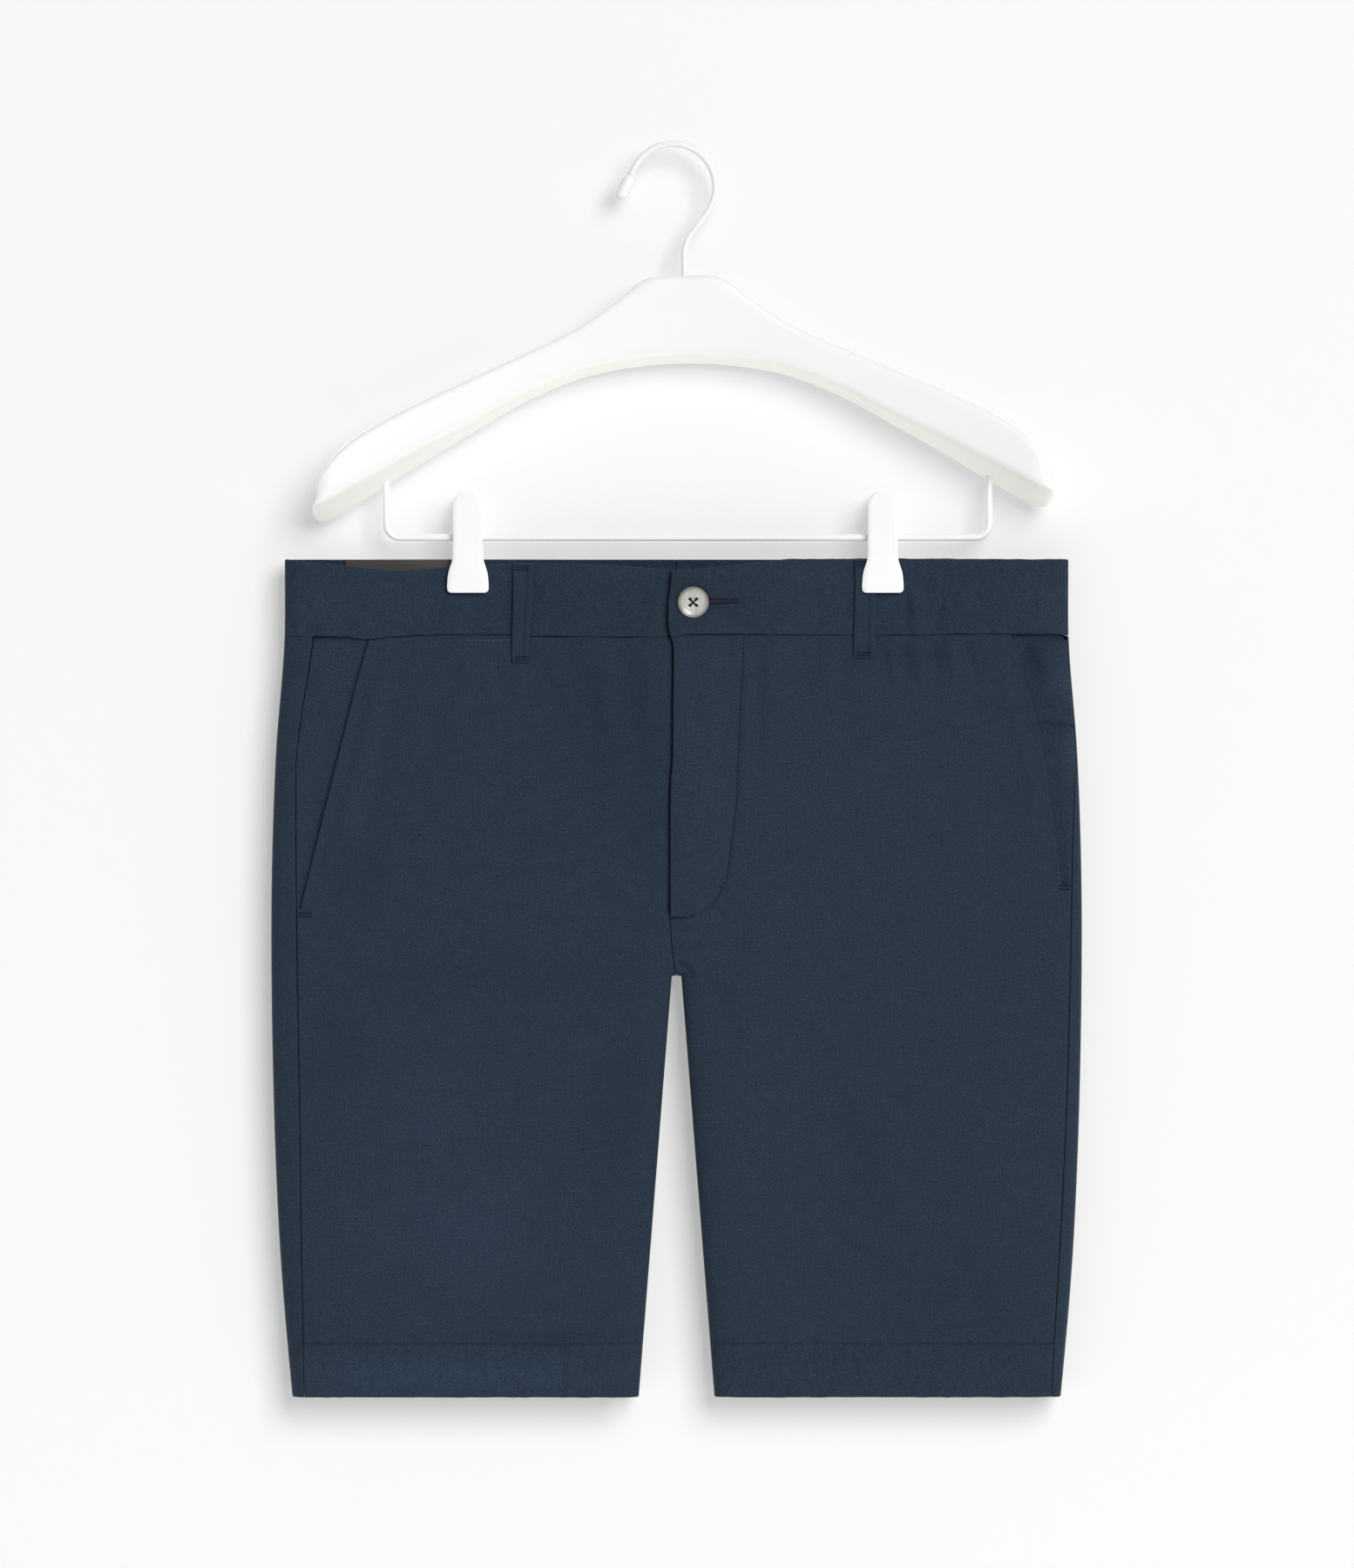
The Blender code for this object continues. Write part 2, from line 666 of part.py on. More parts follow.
def hook():
    """Stem, lean, round crown and free end of the hook, and its thick tip."""
    centre = (0.0, WIRE_R - HOOK_R)
    crown = arc(centre, HOOK_R, -HOOK_LEAN, HOOK_TAIL, 22)
    down = Vector((-math.sin(HOOK_LEAN), 0.0, -math.cos(HOOK_LEAN)))
    to_stem = (crown[0].x - STEM_X) / math.sin(HOOK_LEAN)
    corner = crown[0] + down * to_stem
    tangent = STEM_BEND_R * math.tan(HOOK_LEAN / 2)
    bend = arc(
        (STEM_X + STEM_BEND_R, corner.z - tangent), STEM_BEND_R, math.pi, math.pi - HOOK_LEAN, 5
    )
    tail = Vector((-math.sin(HOOK_TAIL), 0.0, math.cos(HOOK_TAIL)))
    tail_start = crown[-1]
    points = [Vector((STEM_X, 0, STEM_END_Z)), *bend, *crown, tail_start + tail * TAIL_WIRE]
    tube("hook", points, WIRE_R, 2, "white_wire")

    profile = [(0.0, 0.0), (TIP_R * 0.60, 0.0), (TIP_R * 0.86, TIP_R * 0.45), (TIP_R, TIP_R * 1.2)]
    for i in range(5):
        angle = i * math.pi / 8
        profile.append((TIP_R * math.cos(angle), TIP_LENGTH - TIP_R + TIP_R * math.sin(angle)))
    profile[-1] = (0.0, TIP_LENGTH)
    tip = turned("hook_tip", profile, 14, "white_wire")
    tip.rotation_euler = tail.to_track_quat("Z", "Y").to_euler()
    tip.location = tail_start + tail * (TAIL_WIRE + SEAM)


def trouser_bar():
    """Wire bar: down from one arm, across, and up into the other."""
    r = BAR_BEND_R
    left_x, right_x = BAR_X
    points = [
        Vector((left_x, 0, SOCKET_TOP_Z - SOCKET_SLACK)),
        *arc((left_x + r, BAR_Z + r), r, math.pi, 1.5 * math.pi, 6),
        *arc((right_x - r, BAR_Z + r), r, -0.5 * math.pi, 0, 6),
        Vector((right_x, 0, SOCKET_TOP_Z - SOCKET_SLACK)),
    ]
    tube("trouser_bar", points, WIRE_R, 2, "white_wire")


def clip(label, x):
    """Two sprung jaws on a sleeve round the bar, gripping the front and back waistbands."""
    shares = (-1.0, -0.62, -0.22, 0.22, 0.62, 1.0)
    for face_name, face in (("front", -1), ("back", 1)):

        def place(column, row, side):
            jaw = JAW_ROWS[row]
            across = x + shares[column] * jaw.width / 2
            z = CLIP_TOP_Z - jaw.down
            over_loop = label == "left" and face == -1 and column < 3
            gripping = LIP_END_Z < z < LIP_TOP_Z and not over_loop
            inner = JAW_FACE + jaw.lean - (LIP if gripping else 0.0)
            rounding = 0.0006 * abs(shares[column]) ** 3
            outer = JAW_FACE + jaw.lean + JAW_THICK - rounding
            return Vector((across, face * (inner if side else outer), z))

        slab(f"clip_{label}_{face_name}_jaw", len(shares) - 1, len(JAW_ROWS) - 1, place, "white_clip")
    half = SLEEVE_LENGTH / 2
    bore = WIRE_R + SEAM
    profile = ((bore, -half), (SLEEVE_R, -half), (SLEEVE_R, half), (bore, half))
    sleeve = turned(f"clip_{label}_sleeve", profile, 14, "white_clip")
    sleeve.rotation_euler = (0, math.pi / 2, 0)
    sleeve.location = (x, 0, BAR_Z)


# ---------------------------------------------------------------- build
def build():
    for old in list(bpy.data.objects):
        bpy.data.objects.remove(old, do_unlink=True)
    for side in SIDES:
        front_panel(side)
        back_panel(side)
        pocket_facing(side)
        waistband(side)
    fly_shield()
    for loop in BELT_LOOPS:
        belt_loop(loop)
    inside_patch()
    button()
    hanger_body()
    hook()
    trouser_bar()
    for label, x in CLIPS.items():
        clip(label, x)


build()
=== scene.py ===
"""Navy bermuda shorts clipped by the waistband to a wide white hanger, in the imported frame:
metres, +Z up, the front facing -Y, the hook's crown over the origin."""

import math
from collections import namedtuple

import bmesh
import bpy
import numpy as np
from mathutils import Matrix, Vector


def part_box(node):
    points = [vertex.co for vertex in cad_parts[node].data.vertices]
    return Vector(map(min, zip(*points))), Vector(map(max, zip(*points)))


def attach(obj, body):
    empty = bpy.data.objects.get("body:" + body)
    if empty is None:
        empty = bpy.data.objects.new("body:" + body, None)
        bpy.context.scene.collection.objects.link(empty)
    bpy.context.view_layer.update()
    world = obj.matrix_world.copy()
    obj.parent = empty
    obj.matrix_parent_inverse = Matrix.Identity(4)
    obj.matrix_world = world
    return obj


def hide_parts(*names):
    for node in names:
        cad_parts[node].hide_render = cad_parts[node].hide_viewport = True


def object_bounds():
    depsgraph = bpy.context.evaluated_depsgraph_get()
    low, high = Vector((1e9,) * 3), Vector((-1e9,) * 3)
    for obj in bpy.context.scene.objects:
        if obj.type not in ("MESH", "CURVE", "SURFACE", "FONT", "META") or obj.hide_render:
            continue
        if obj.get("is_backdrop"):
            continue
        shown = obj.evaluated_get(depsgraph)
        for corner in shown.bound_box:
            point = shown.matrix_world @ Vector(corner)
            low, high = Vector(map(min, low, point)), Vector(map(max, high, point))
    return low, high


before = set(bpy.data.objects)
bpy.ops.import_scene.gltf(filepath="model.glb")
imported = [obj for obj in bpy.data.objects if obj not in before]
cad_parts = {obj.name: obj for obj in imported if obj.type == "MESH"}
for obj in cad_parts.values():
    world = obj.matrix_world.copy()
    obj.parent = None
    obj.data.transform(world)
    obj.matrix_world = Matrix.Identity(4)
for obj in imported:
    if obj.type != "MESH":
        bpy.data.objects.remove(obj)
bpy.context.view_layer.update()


# ================ cloth
# The shorts are one cotton and linen cloth, plain woven in navy yarn with faint slubs, and
# washed matt. Hung by the waist it lies nearly flat: a front and a back that turn over at
# the sides, a finger's width apart, with the soft creases that folding left in it.
CLOTH, BAND_CLOTH, HEM_CLOTH = 0.0012, 0.0020, 0.0020
SEAM = 0.0003

waist_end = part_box("waistband_left")[1]
leg_low, leg_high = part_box("back_left")
MIDDLE = (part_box("waistband_right")[0].x + waist_end.x) / 2
WAIST_Z, HEM_Z = waist_end.z, leg_low.z
BAND_SEAM_Z = leg_high.z + SEAM / 2
HEM_DEPTH = 0.0308
CROTCH_Z = -0.4755
LEG_GAP_TOP, LEG_GAP_HEM = 0.0025, 0.0215
FOLD_POWER = 4.0


def in_mm(kind, *rows):
    """A table's rows, from millimetres."""
    return tuple(kind(*(value / 1000 for value in row)) for row in rows)


Section = namedtuple("Section", "z half_width half_depth edge_run")
SECTIONS = in_mm(
    Section,
    (-237, 224.8, 8, 18), (-285, 225.1, 9, 22), (-345, 229.7, 10.8, 28), (-405, 232, 11.8, 30),
    (-465, 232.5, 12, 30), (-545, 231.2, 11.8, 30), (-615, 228.5, 12, 30),
    (-665, 225.1, 12.6, 30), (-717, 220.3, 13.4, 30),
)

CLIPS = {
    side: sum((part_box(f"clip_{side}_front_jaw")[k].x for k in (0, 1))) / 2
    for side in ("right", "left")
}
CLIP_HALF_GRIP = 0.0028
CLIP_FLAT, CLIP_RUN = 0.0150, 0.0550
CLIP_END_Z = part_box("clip_left_front_jaw")[0].z

FLY_END_Z = -0.4420
BAND_RAISE = BAND_CLOTH + SEAM
FLY_RAISE = CLOTH + SEAM
RAISE_FLAT, RAISE_RUN = 0.0400, 0.0450

# Creases are soft ridges (height above 0) or troughs (below 0) from one end to the other,
# measured from the centre line and down from the hook. soft is the half-width.
CREASE_DEPTH = 1.35
Crease = namedtuple("Crease", "x0 z0 x1 z1 soft height")
FRONT_CREASES = in_mm(
    Crease,
    # pulls that start under the waistband
    (-166, -284, -163, -300, 3, 0.45), (-140, -284, -143, -303, 3.5, -0.4),
    (-122, -284, -120, -306, 3.5, 0.45), (-104, -284, -101, -312, 3, -0.6),
    (-83, -290, -66, -324, 3.4, -0.6), (-78, -284, -61, -318, 3.6, 0.55),
    (-62, -284, -48, -326, 6.2, -0.7), (-41, -284, -40, -318, 4.4, 0.6),
    (-30, -284, -26, -345, 7, -0.7), (-16, -284, -17, -330, 4, 0.6), (18, -284, 22, -330, 6, 0.7),
    (46, -284, 47, -344, 4.5, -0.9), (56, -284, 52, -315, 4, 0.7),
    (74, -284, 72, -303, 3.5, -0.45), (90, -284, 84, -312, 3.5, 0.9),
    (98, -290, 94, -310, 3, -0.8), (122, -284, 125, -304, 2.4, 1.25),
    (129, -284, 133, -302, 2.2, -1.5), (138, -284, 141, -308, 2.6, 1.15),
    (147, -284, 150, -300, 2.2, -1), (156, -284, 160, -303, 2.6, 1.5),
    (166, -284, 170, -300, 2.2, -1.1), (176, -284, 181, -305, 2.6, 0.9),
    # below the end of the fly, and along its stitching
    (12, -416, 30, -406, 1.8, 0.4), (10, -424, 26, -430, 1.8, -0.4),
    (4, -430, 12, -439, 1.8, 0.5), (-3, -447.8, 8, -444, 1.6, 0.7),
    (-2, -458.5, 13.5, -457.5, 1.4, -1), (0, -461.5, 10, -462.5, 1.6, 0.8),
    (0, -466.5, 8.5, -475, 1.4, -1.1), (5, -465, 14, -474, 1.8, 0.7),
    (-20, -452, -4, -464, 3.5, 0.4),
    # soft bends across the thighs
    (-190, -372, -110, -384, 10, -0.7), (-140, -390, -30, -386, 8, -0.7),
    (-160, -402, -10, -412, 25, 1.1), (-170, -418, -196, -402, 8, -1.1),
    (-190, -470, -30, -462, 16, -1.1), (-205, -500, -170, -545, 14, -1.2),
    (-150, -486, -80, -540, 20, 1.1), (-190, -575, -60, -590, 26, 1.2),
    (-110, -650, -50, -540, 16, -0.8), (-195, -640, -165, -668, 10, -0.8),
    (-180, -655, -110, -645, 12, 0.9), (60, -420, 180, -392, 24, 1),
    (14, -470, 36, -520, 6, -0.6), (50, -500, 150, -515, 20, -0.8),
    (80, -540, 120, -620, 10, -0.4), (100, -545, 145, -640, 9, 0.45),
    (130, -560, 165, -650, 9, -0.4), (60, -690, 70, -560, 14, 0.6),
    (150, -590, 195, -602, 22, 0.8), (-3, -275, -4, -430, 20, 1.6),
    (-52, -284, -30, -360, 13, 1.4), (20, -320, 16, -420, 8, 0.6),
    # the hem's turning, stiff and uneven
    (-127, -682, -26, -681.5, 2.2, -0.55), (-86, -685, -62, -684.5, 3, -0.6),
    (-66, -688, -65.5, -716, 2, -0.7), (-60, -690, -60, -714, 2.5, 0.6),
    (-200, -700, -150, -702, 8, 0.7), (-120, -693, -80, -704, 5, 0.5),
    (40, -700, 110, -702, 6, 0.6), (100, -688, 102, -712, 3, -0.5),
    (150, -692, 190, -706, 6, 0.5),
    # the pocket mouths' slack
    (-168, -300, -190, -388, 5, 1), (-162, -320, -178, -385, 6, -0.6),
    (186, -296, 205, -372, 4.5, 1),
    # the side seams' puckers
    (-232, -297, -214, -300.5, 2.2, -0.9), (-232, -304, -218, -306, 2.2, 0.8),
    (-232, -331, -216, -333, 2.4, -0.8), (-232, -388, -217, -390, 3, 0.6),
    (-232, -452, -216, -456, 3, -0.7), (232, -452, 216, -448, 3, -0.7),
)
BACK_CREASES = in_mm(
    Crease,
    (-172, -283, -168, -316, 4.5, 0.99), (-150, -283, -146, -306, 4, -0.81),
    (-104, -283, -106, -330, 5.5, 0.9), (-60, -283, -52, -322, 5, 0.99),
    (-22, -283, -16, -308, 3.5, -0.72), (18, -283, 14, -312, 4, 0.81),
    (48, -283, 53, -306, 4.5, -0.72), (92, -283, 89, -326, 5, 0.99),
    (150, -283, 155, -318, 4.5, 0.99), (176, -283, 180, -303, 3.5, -0.72),
    (-16, -452, 2, -470, 3, 1.08), (18, -446, 1, -467, 2.8, 1.08),
    (-150, -404, -30, -442, 22, 1.62), (146, -398, 30, -446, 24, 1.62),
    (-170, -500, -60, -478, 20, -1.08), (60, -505, 175, -486, 22, -1.08),
    (-180, -610, -60, -588, 28, 1.08), (60, -640, 180, -600, 28, 1.08),
)

# Places where the cloth's colour is painted darker (tone below 0) or paler (above 0), on
# the front (-1) and the back (1): painted shade and light that follow the broad shading,
# the creases and the turned-up hem, with some uneven washing. The tone is in thousandths.
ShadeAndWash = namedtuple("ShadeAndWash", "x z across down tone")
SHADE_AND_WASH_PLACES = {
    -1: in_mm(
        ShadeAndWash,
        (-36, -322, 34, 48, -130), (-12, -390, 14, 40, -80), (-187, -421, 14, 20, -110),
        (-186, -372, 10, 30, 60), (-100, -475, 90, 15, -60), (-142, -550, 34, 32, 110),
        (-125, -622, 58, 38, 140), (-197, -520, 14, 22, -80), (-32, -550, 20, 45, -70),
        (-125, -704, 80, 12, 260), (-190, -704, 22, 12, 80), (-75, -681.5, 46, 3, -110),
        (17, -350, 14, 60, 70), (110, -372, 60, 25, 45), (50, -580, 20, 75, 60),
        (155, -662, 42, 30, -70), (110, -592, 14, 40, -50), (200, -560, 16, 60, 45),
        (140, -291, 45, 6, -90), (204, -296, 6, 13, -220), (221, -309, 9, 10, 240),
        (226, -345, 7, 12, 160), (217, -331.2, 12, 1.7, -220), (214, -262, 12, 14, 100),
        (-203, -262, 16, 12, 90), (6, -262, 60, 16, -70),
    ),
    1: in_mm(
        ShadeAndWash,
        (-60, -330, 40, 40, -90), (120, -360, 50, 35, 60), (-130, -480, 60, 30, 90),
        (110, -560, 50, 50, 90), (-90, -620, 40, 40, -70), (40, -480, 30, 30, -80),
        (120, -704, 80, 11, 120),
    ),
}


def shaded_and_washed(x, z, face):
    """How much paler or darker the cloth's colour is painted there, as a factor: painted shade and
    light, with some uneven washing.
    """
    total = np.ones(np.broadcast(x, z, face).shape)
    for side, places in SHADE_AND_WASH_PLACES.items():
        for shade_and_wash in places:
            away = ((x - shade_and_wash.x) / shade_and_wash.across) ** 2 + ((z - shade_and_wash.z) / shade_and_wash.down) ** 2
            total = total + np.where(face == side, shade_and_wash.tone * np.exp(-away), 0.0)
    return total


def read(table, at, column, key="z"):
    """A column of a table at places between its rows, on a smooth curve through them."""
    rows = sorted(table, key=lambda row: getattr(row, key))
    keys = np.array([getattr(row, key) for row in rows])
    values = np.array([getattr(row, column) for row in rows])
    slopes = np.empty_like(values)
    slopes[1:-1] = (values[2:] - values[:-2]) / (keys[2:] - keys[:-2])
    slopes[0] = (values[1] - values[0]) / (keys[1] - keys[0])
    slopes[-1] = (values[-1] - values[-2]) / (keys[-1] - keys[-2])
    at = np.clip(at, keys[0], keys[-1])
    i = np.clip(np.searchsorted(keys, at, side="right") - 1, 0, len(keys) - 2)
    span = keys[i + 1] - keys[i]
    t = (at - keys[i]) / span
    return (
        (2 * t**3 - 3 * t**2 + 1) * values[i]
        + (t**3 - 2 * t**2 + t) * span * slopes[i]
        + (3 * t**2 - 2 * t**3) * values[i + 1]
        + (t**3 - t**2) * span * slopes[i + 1]
    )


def ease(t):
    t = np.clip(t, 0.0, 1.0)
    return t * t * (3 - 2 * t)


def bell(away, soft):
    """1 in the middle and fading smoothly to 0 beyond a soft half-width."""
    return np.exp(-((away / soft) ** 2))


def half_width(z):
    return read(SECTIONS, z, "half_width")


def leg_gap(z):
    """Half the gap between the legs."""
    down = (CROTCH_Z - z) / (CROTCH_Z - HEM_Z)
    return np.where(z < CROTCH_Z, LEG_GAP_TOP + (LEG_GAP_HEM - LEG_GAP_TOP) * down, 0.0)


def turn(distance, run):
    """Share of its full depth that the cloth has, that far in from a folded edge."""
    left = 1 - np.clip(distance / run, 0.0, 1.0)
    return (1 - left**FOLD_POWER) ** (1 / FOLD_POWER)


def depth(x, z):
    """From the middle plane to the outside of the cloth, x being from the centre line."""
    run = read(SECTIONS, z, "edge_run")
    full = read(SECTIONS, z, "half_depth")
    away = np.min([np.abs(MIDDLE + x - at) for at in CLIPS.values()], axis=0)
    held = (1 - ease((away - CLIP_FLAT) / CLIP_RUN)) * (1 - ease((CLIP_END_Z - z) / 0.050))
    full = full * (1 - held) + CLIP_HALF_GRIP * held
    above = np.hypot(np.maximum(np.abs(x) - LEG_GAP_TOP, 0.0), np.maximum(z - CROTCH_Z, 0.0))
    to_gap = np.where(z >= CROTCH_Z, above, np.abs(x) - leg_gap(z))
    return full * turn(half_width(z) - np.abs(x), run) * turn(to_gap, run)


def creased(x, z, creases):
    """Height of the creases above the smooth cloth."""
    total = np.zeros(np.broadcast(x, z).shape)
    for crease in creases:
        run_x, run_z = crease.x1 - crease.x0, crease.z1 - crease.z0
        length = math.hypot(run_x, run_z)
        along = ((x - crease.x0) * run_x + (z - crease.z0) * run_z) / length**2
        aside = ((x - crease.x0) * run_z - (z - crease.z0) * run_x) / length
        fade = ease(1 - np.abs(along - 0.5) * 1.25 + 0.25)
        total = total + crease.height * fade * bell(aside, crease.soft)
    return total


def crumple(x, z, size, seed):
    """Low, irregular dents of about that size: crossing waves that never line up."""
    total = 0.0
    for i in range(9):
        angle = seed + i * 2.399963
        wave = 2 * math.pi / (size * (0.75 + 0.11 * i))
        bent = 0.35 * size * np.sin((x * math.sin(angle) - z * math.cos(angle)) * wave * 0.37 + i)
        total = total + np.sin((x * math.cos(angle) + z * math.sin(angle) + bent) * wave + 3 * i)
    return total / 3


# The front's waist seam isn't quite level, and its fly's edge wanders a little.
Rise = namedtuple("Rise", "x z")
SEAM_RISE = in_mm(
    Rise,
    (-225, -0.7), (-190, -0.9), (-177, -2.6), (-165, -1.2), (-140, 0.3), (-93, 0.4), (-80, -0.5),
    (-4, -0.9), (8, 0.5), (110, 0.3), (180, 0.8), (212, 0.5), (225.1, 0),
)
Edge = namedtuple("Edge", "z away")
FLY_LINE = in_mm(
    Edge,
    (-237, -2.6), (-248, -3.4), (-258, -4.6), (-273, -4.6), (-280.3, -3.4), (-285, -2),
    (-320, -2.1), (-350, -2.4), (-370, -3.6), (-435, -3.7), (-448, -3.5), (-462, -2.4),
    (-475.5, -0.2),
)


def seam_rise(x, z):
    """How far the cloth by the waist seam lies above where a level seam would put it."""
    return read(SEAM_RISE, x, "z", "x") * (1 - ease(np.abs(z - BAND_SEAM_Z) / 0.036))


def fly_x(z):
    return read(FLY_LINE, z, "away")


def lap_raise(x, z, amount, end_z=-1.0):
    """How far the lapped side of the fly stands forward, fading away from the lap."""
    return amount * (1 - ease((x - RAISE_FLAT) / RAISE_RUN)) * ease((z - end_z) / 0.022)


def skin(x, z, face, lift=None):
    """(points, outward directions) on the outside of the cloth; face is -1 front, 1 back."""
    step = 0.00005
    x, z, face = np.broadcast_arrays(np.asarray(x, float), np.asarray(z, float), face)

    def raised(x, z):
        if lift is None:
            return np.zeros_like(x)
        return np.where(face < 0, lift(x, z), 0.0)

    d = depth(x, z)
    slopes = []
    for dx, dz in ((step, 0.0), (0.0, step)):
        ahead, behind = depth(x + dx, z + dz), depth(x - dx, z - dz)
        slope = (ahead**2 - behind**2) / (2 * step)
        slope = slope + d * (raised(x + dx, z + dz) - raised(x - dx, z - dz)) / step
        slopes.append(slope)
    out = np.stack([-slopes[0], face * 2 * np.maximum(d, 1e-7), -slopes[1]], axis=-1)
    out /= np.linalg.norm(out, axis=-1, keepdims=True)
    points = np.stack([MIDDLE + x, face * (d + raised(x, z)), z], axis=-1)
    # creases fade out where the cloth turns over, so that its folded edges stay put
    fade = ease(d / 0.008 - 0.35)
    creases_wash_and_shade = np.where(face < 0, creased(x, z, FRONT_CREASES), creased(x, z, BACK_CREASES))
    return points + out * (CREASE_DEPTH * creases_wash_and_shade * fade)[..., None], out


def stations(length, pitch, fine=(0.0, 0.00012, 0.0003, 0.0006, 0.0011, 0.0018)):
    """Places along a length: fine steps at both ends, for the rounded edges, then even."""
    count = max(2, round((length - 2 * fine[-1]) / pitch))
    middle = np.linspace(fine[-1], length - fine[-1], count + 1)[1:-1]
    return np.concatenate([fine, middle, [length - step for step in reversed(fine)]])


def shares(length, pitch):
    return stations(length, pitch) / length


def rounded(distance, radius):
    """Drop from the flat at that distance from a rounded edge."""
    left = np.clip(1 - distance / np.maximum(radius, 1e-9), 0.0, 1.0)
    return radius * (1 - np.sqrt(1 - left**2))


def along_cloth(points, axis):
    """Distance along the cloth, from the first column or row to each point."""
    steps = np.linalg.norm(np.diff(points, axis=axis), axis=-1)
    total = np.cumsum(steps, axis=axis)
    return np.concatenate([np.zeros_like(np.take(total, [0], axis)), total], axis)


def cloth(name, x, z, face, wall, under=0.0, lift=None, edges=(0, 0, 0, 0), start=0.0,
          material=None):
    """A sewn piece. x, z and face are columns by rows; wall is its thickness, under how far
    its outside lies below the form, and edges the rounding of its first and last column and
    first and last row. start is where its first column lies across the loom."""
    smooth, out = skin(x, z, face, lift)
    across, down = along_cloth(smooth, 0), along_cloth(smooth, 1)
    drop = np.zeros_like(across)
    for distance, radius in zip(
        (across, across[-1:] - across, down, down[:, -1:] - down), edges
    ):
        drop = np.maximum(drop, rounded(distance, radius))
    wall = np.broadcast_to(wall, across.shape)
    outer = smooth - out * (under + drop)[..., None]
    inner = smooth - out * (under + wall - np.minimum(drop, wall * 0.42))[..., None]

    columns, rows = across.shape

    def spot(v):
        return round((v.co.x + 0.5) * (columns - 1)), round((v.co.y + 0.5) * (rows - 1))

    bm = bmesh.new()
    bmesh.ops.create_grid(bm, x_segments=columns - 1, y_segments=rows - 1, size=0.5)
    # the layers come before any vertex is kept hold of, because adding one moves them all
    shade_and_wash = bm.verts.layers.float.new("shade_and_wash")
    uv = bm.loops.layers.uv.new("cloth")
    for v in bm.verts:
        column, row = spot(v)
        for loop in v.link_loops:
            loop[uv].uv = (start + across[column, row], z[column, row])
    grown = bmesh.ops.extrude_face_region(bm, geom=bm.faces[:])["geom"]
    inside = {v for v in grown if isinstance(v, bmesh.types.BMVert)}
    # each vertex keeps a factor of painted shade and light, with some uneven washing, for the
    # cloth's colour
    tones = shaded_and_washed(x, z, face)
    for v in bm.verts:
        column, row = spot(v)
        v.co = (inner if v in inside else outer)[column, row]
        v[shade_and_wash] = tones[column, row]
    bmesh.ops.recalc_face_normals(bm, faces=bm.faces[:])
    return finished(name, bm, material or navy_cloth)


def finished(name, bm, material):
    """An object at the origin, from a bmesh that is used up."""
    mesh = bpy.data.meshes.new(name)
    bm.to_mesh(mesh)
    bm.free()
    mesh.shade_smooth()
    mesh.set_sharp_from_angle(angle=math.radians(50))
    mesh.materials.append(material)
    made = bpy.data.objects.new(name, mesh)
    bpy.context.scene.collection.objects.link(made)
    return made


# Words for making and joining shader nodes.
def add(tree, kind, inputs=None, **settings):
    node = tree.nodes.new(kind)
    for key, value in settings.items():
        setattr(node, key, value)
    for key, value in (inputs or {}).items():
        if isinstance(value, bpy.types.NodeSocket):
            tree.links.new(value, node.inputs[key])
        else:
            node.inputs[key].default_value = value
    return node


def calculate(tree, operation, a, b=0.0, c=0.0):
    return add(tree, "ShaderNodeMath", {0: a, 1: b, 2: c}, operation=operation).outputs[0]


def on_object(tree):
    return add(tree, "ShaderNodeTexCoord").outputs["Object"]


def noise(tree, place, scale, detail, **more):
    inputs = {"Vector": place, "Scale": scale, "Detail": detail, **more}
    return add(tree, "ShaderNodeTexNoise", inputs).outputs["Fac"]


def part_of(tree, vector, axis):
    return add(tree, "ShaderNodeSeparateXYZ", {0: vector}).outputs[axis]


def scaled(tree, colour, by):
    inputs = {0: colour, "Scale": by}
    return add(tree, "ShaderNodeVectorMath", inputs, operation="SCALE").outputs[0]


def ramp(tree, value, start, stop, first, last):
    inputs = {0: value, 1: start, 2: stop, 3: first, 4: last}
    return add(tree, "ShaderNodeMapRange", inputs).outputs[0]


def mix(tree, share, first, second):
    return add(tree, "ShaderNodeMix", {0: share, 6: first, 7: second}, data_type="RGBA").outputs[2]


def bumped(tree, shader, height, strength, distance):
    inputs = {"Strength": strength, "Distance": distance, "Height": height}
    tree.links.new(add(tree, "ShaderNodeBump", inputs).outputs[0], shader.inputs["Normal"])


def group(name, inputs, outputs):
    """A new node group: (tree, its inputs, its output node)."""
    tree = bpy.data.node_groups.new(name, "ShaderNodeTree")
    for label, kind, value in inputs:
        socket = tree.interface.new_socket(label, in_out="INPUT", socket_type=f"NodeSocket{kind}")
        if value is not None:
            socket.default_value = value
    for label, kind in outputs:
        tree.interface.new_socket(label, in_out="OUTPUT", socket_type=f"NodeSocket{kind}")
    return tree, tree.nodes.new("NodeGroupInput").outputs, tree.nodes.new("NodeGroupOutput")


# Plain weave: threads over and under at one pitch, slubs along both ways of the cloth,
# specks of lighter and darker fibre, and broad patches where the washing took more colour.
weave, given, result = group(
    "plain weave",
    [
        ("Place", "Vector", None), ("Pitch", "Float", 0.0005), ("Slubs", "Float", 0.2),
        ("Specks", "Float", 0.2), ("Patches", "Float", 0.1), ("Crinkle", "Float", 0.3),
    ],
    [("Shade", "Float"), ("Height", "Float")],
)  # fmt: skip


def streaks(width, height, detail=2.0):
    """Noise from -0.5 to 0.5, in patches of about that size."""
    stretched = add(
        weave, "ShaderNodeVectorMath", {0: given["Place"], 1: (1 / width, 1 / height, 1)},
        operation="MULTIPLY",
    )
    return calculate(weave, "SUBTRACT", noise(weave, stretched.outputs[0], 1.0, detail), 0.5)


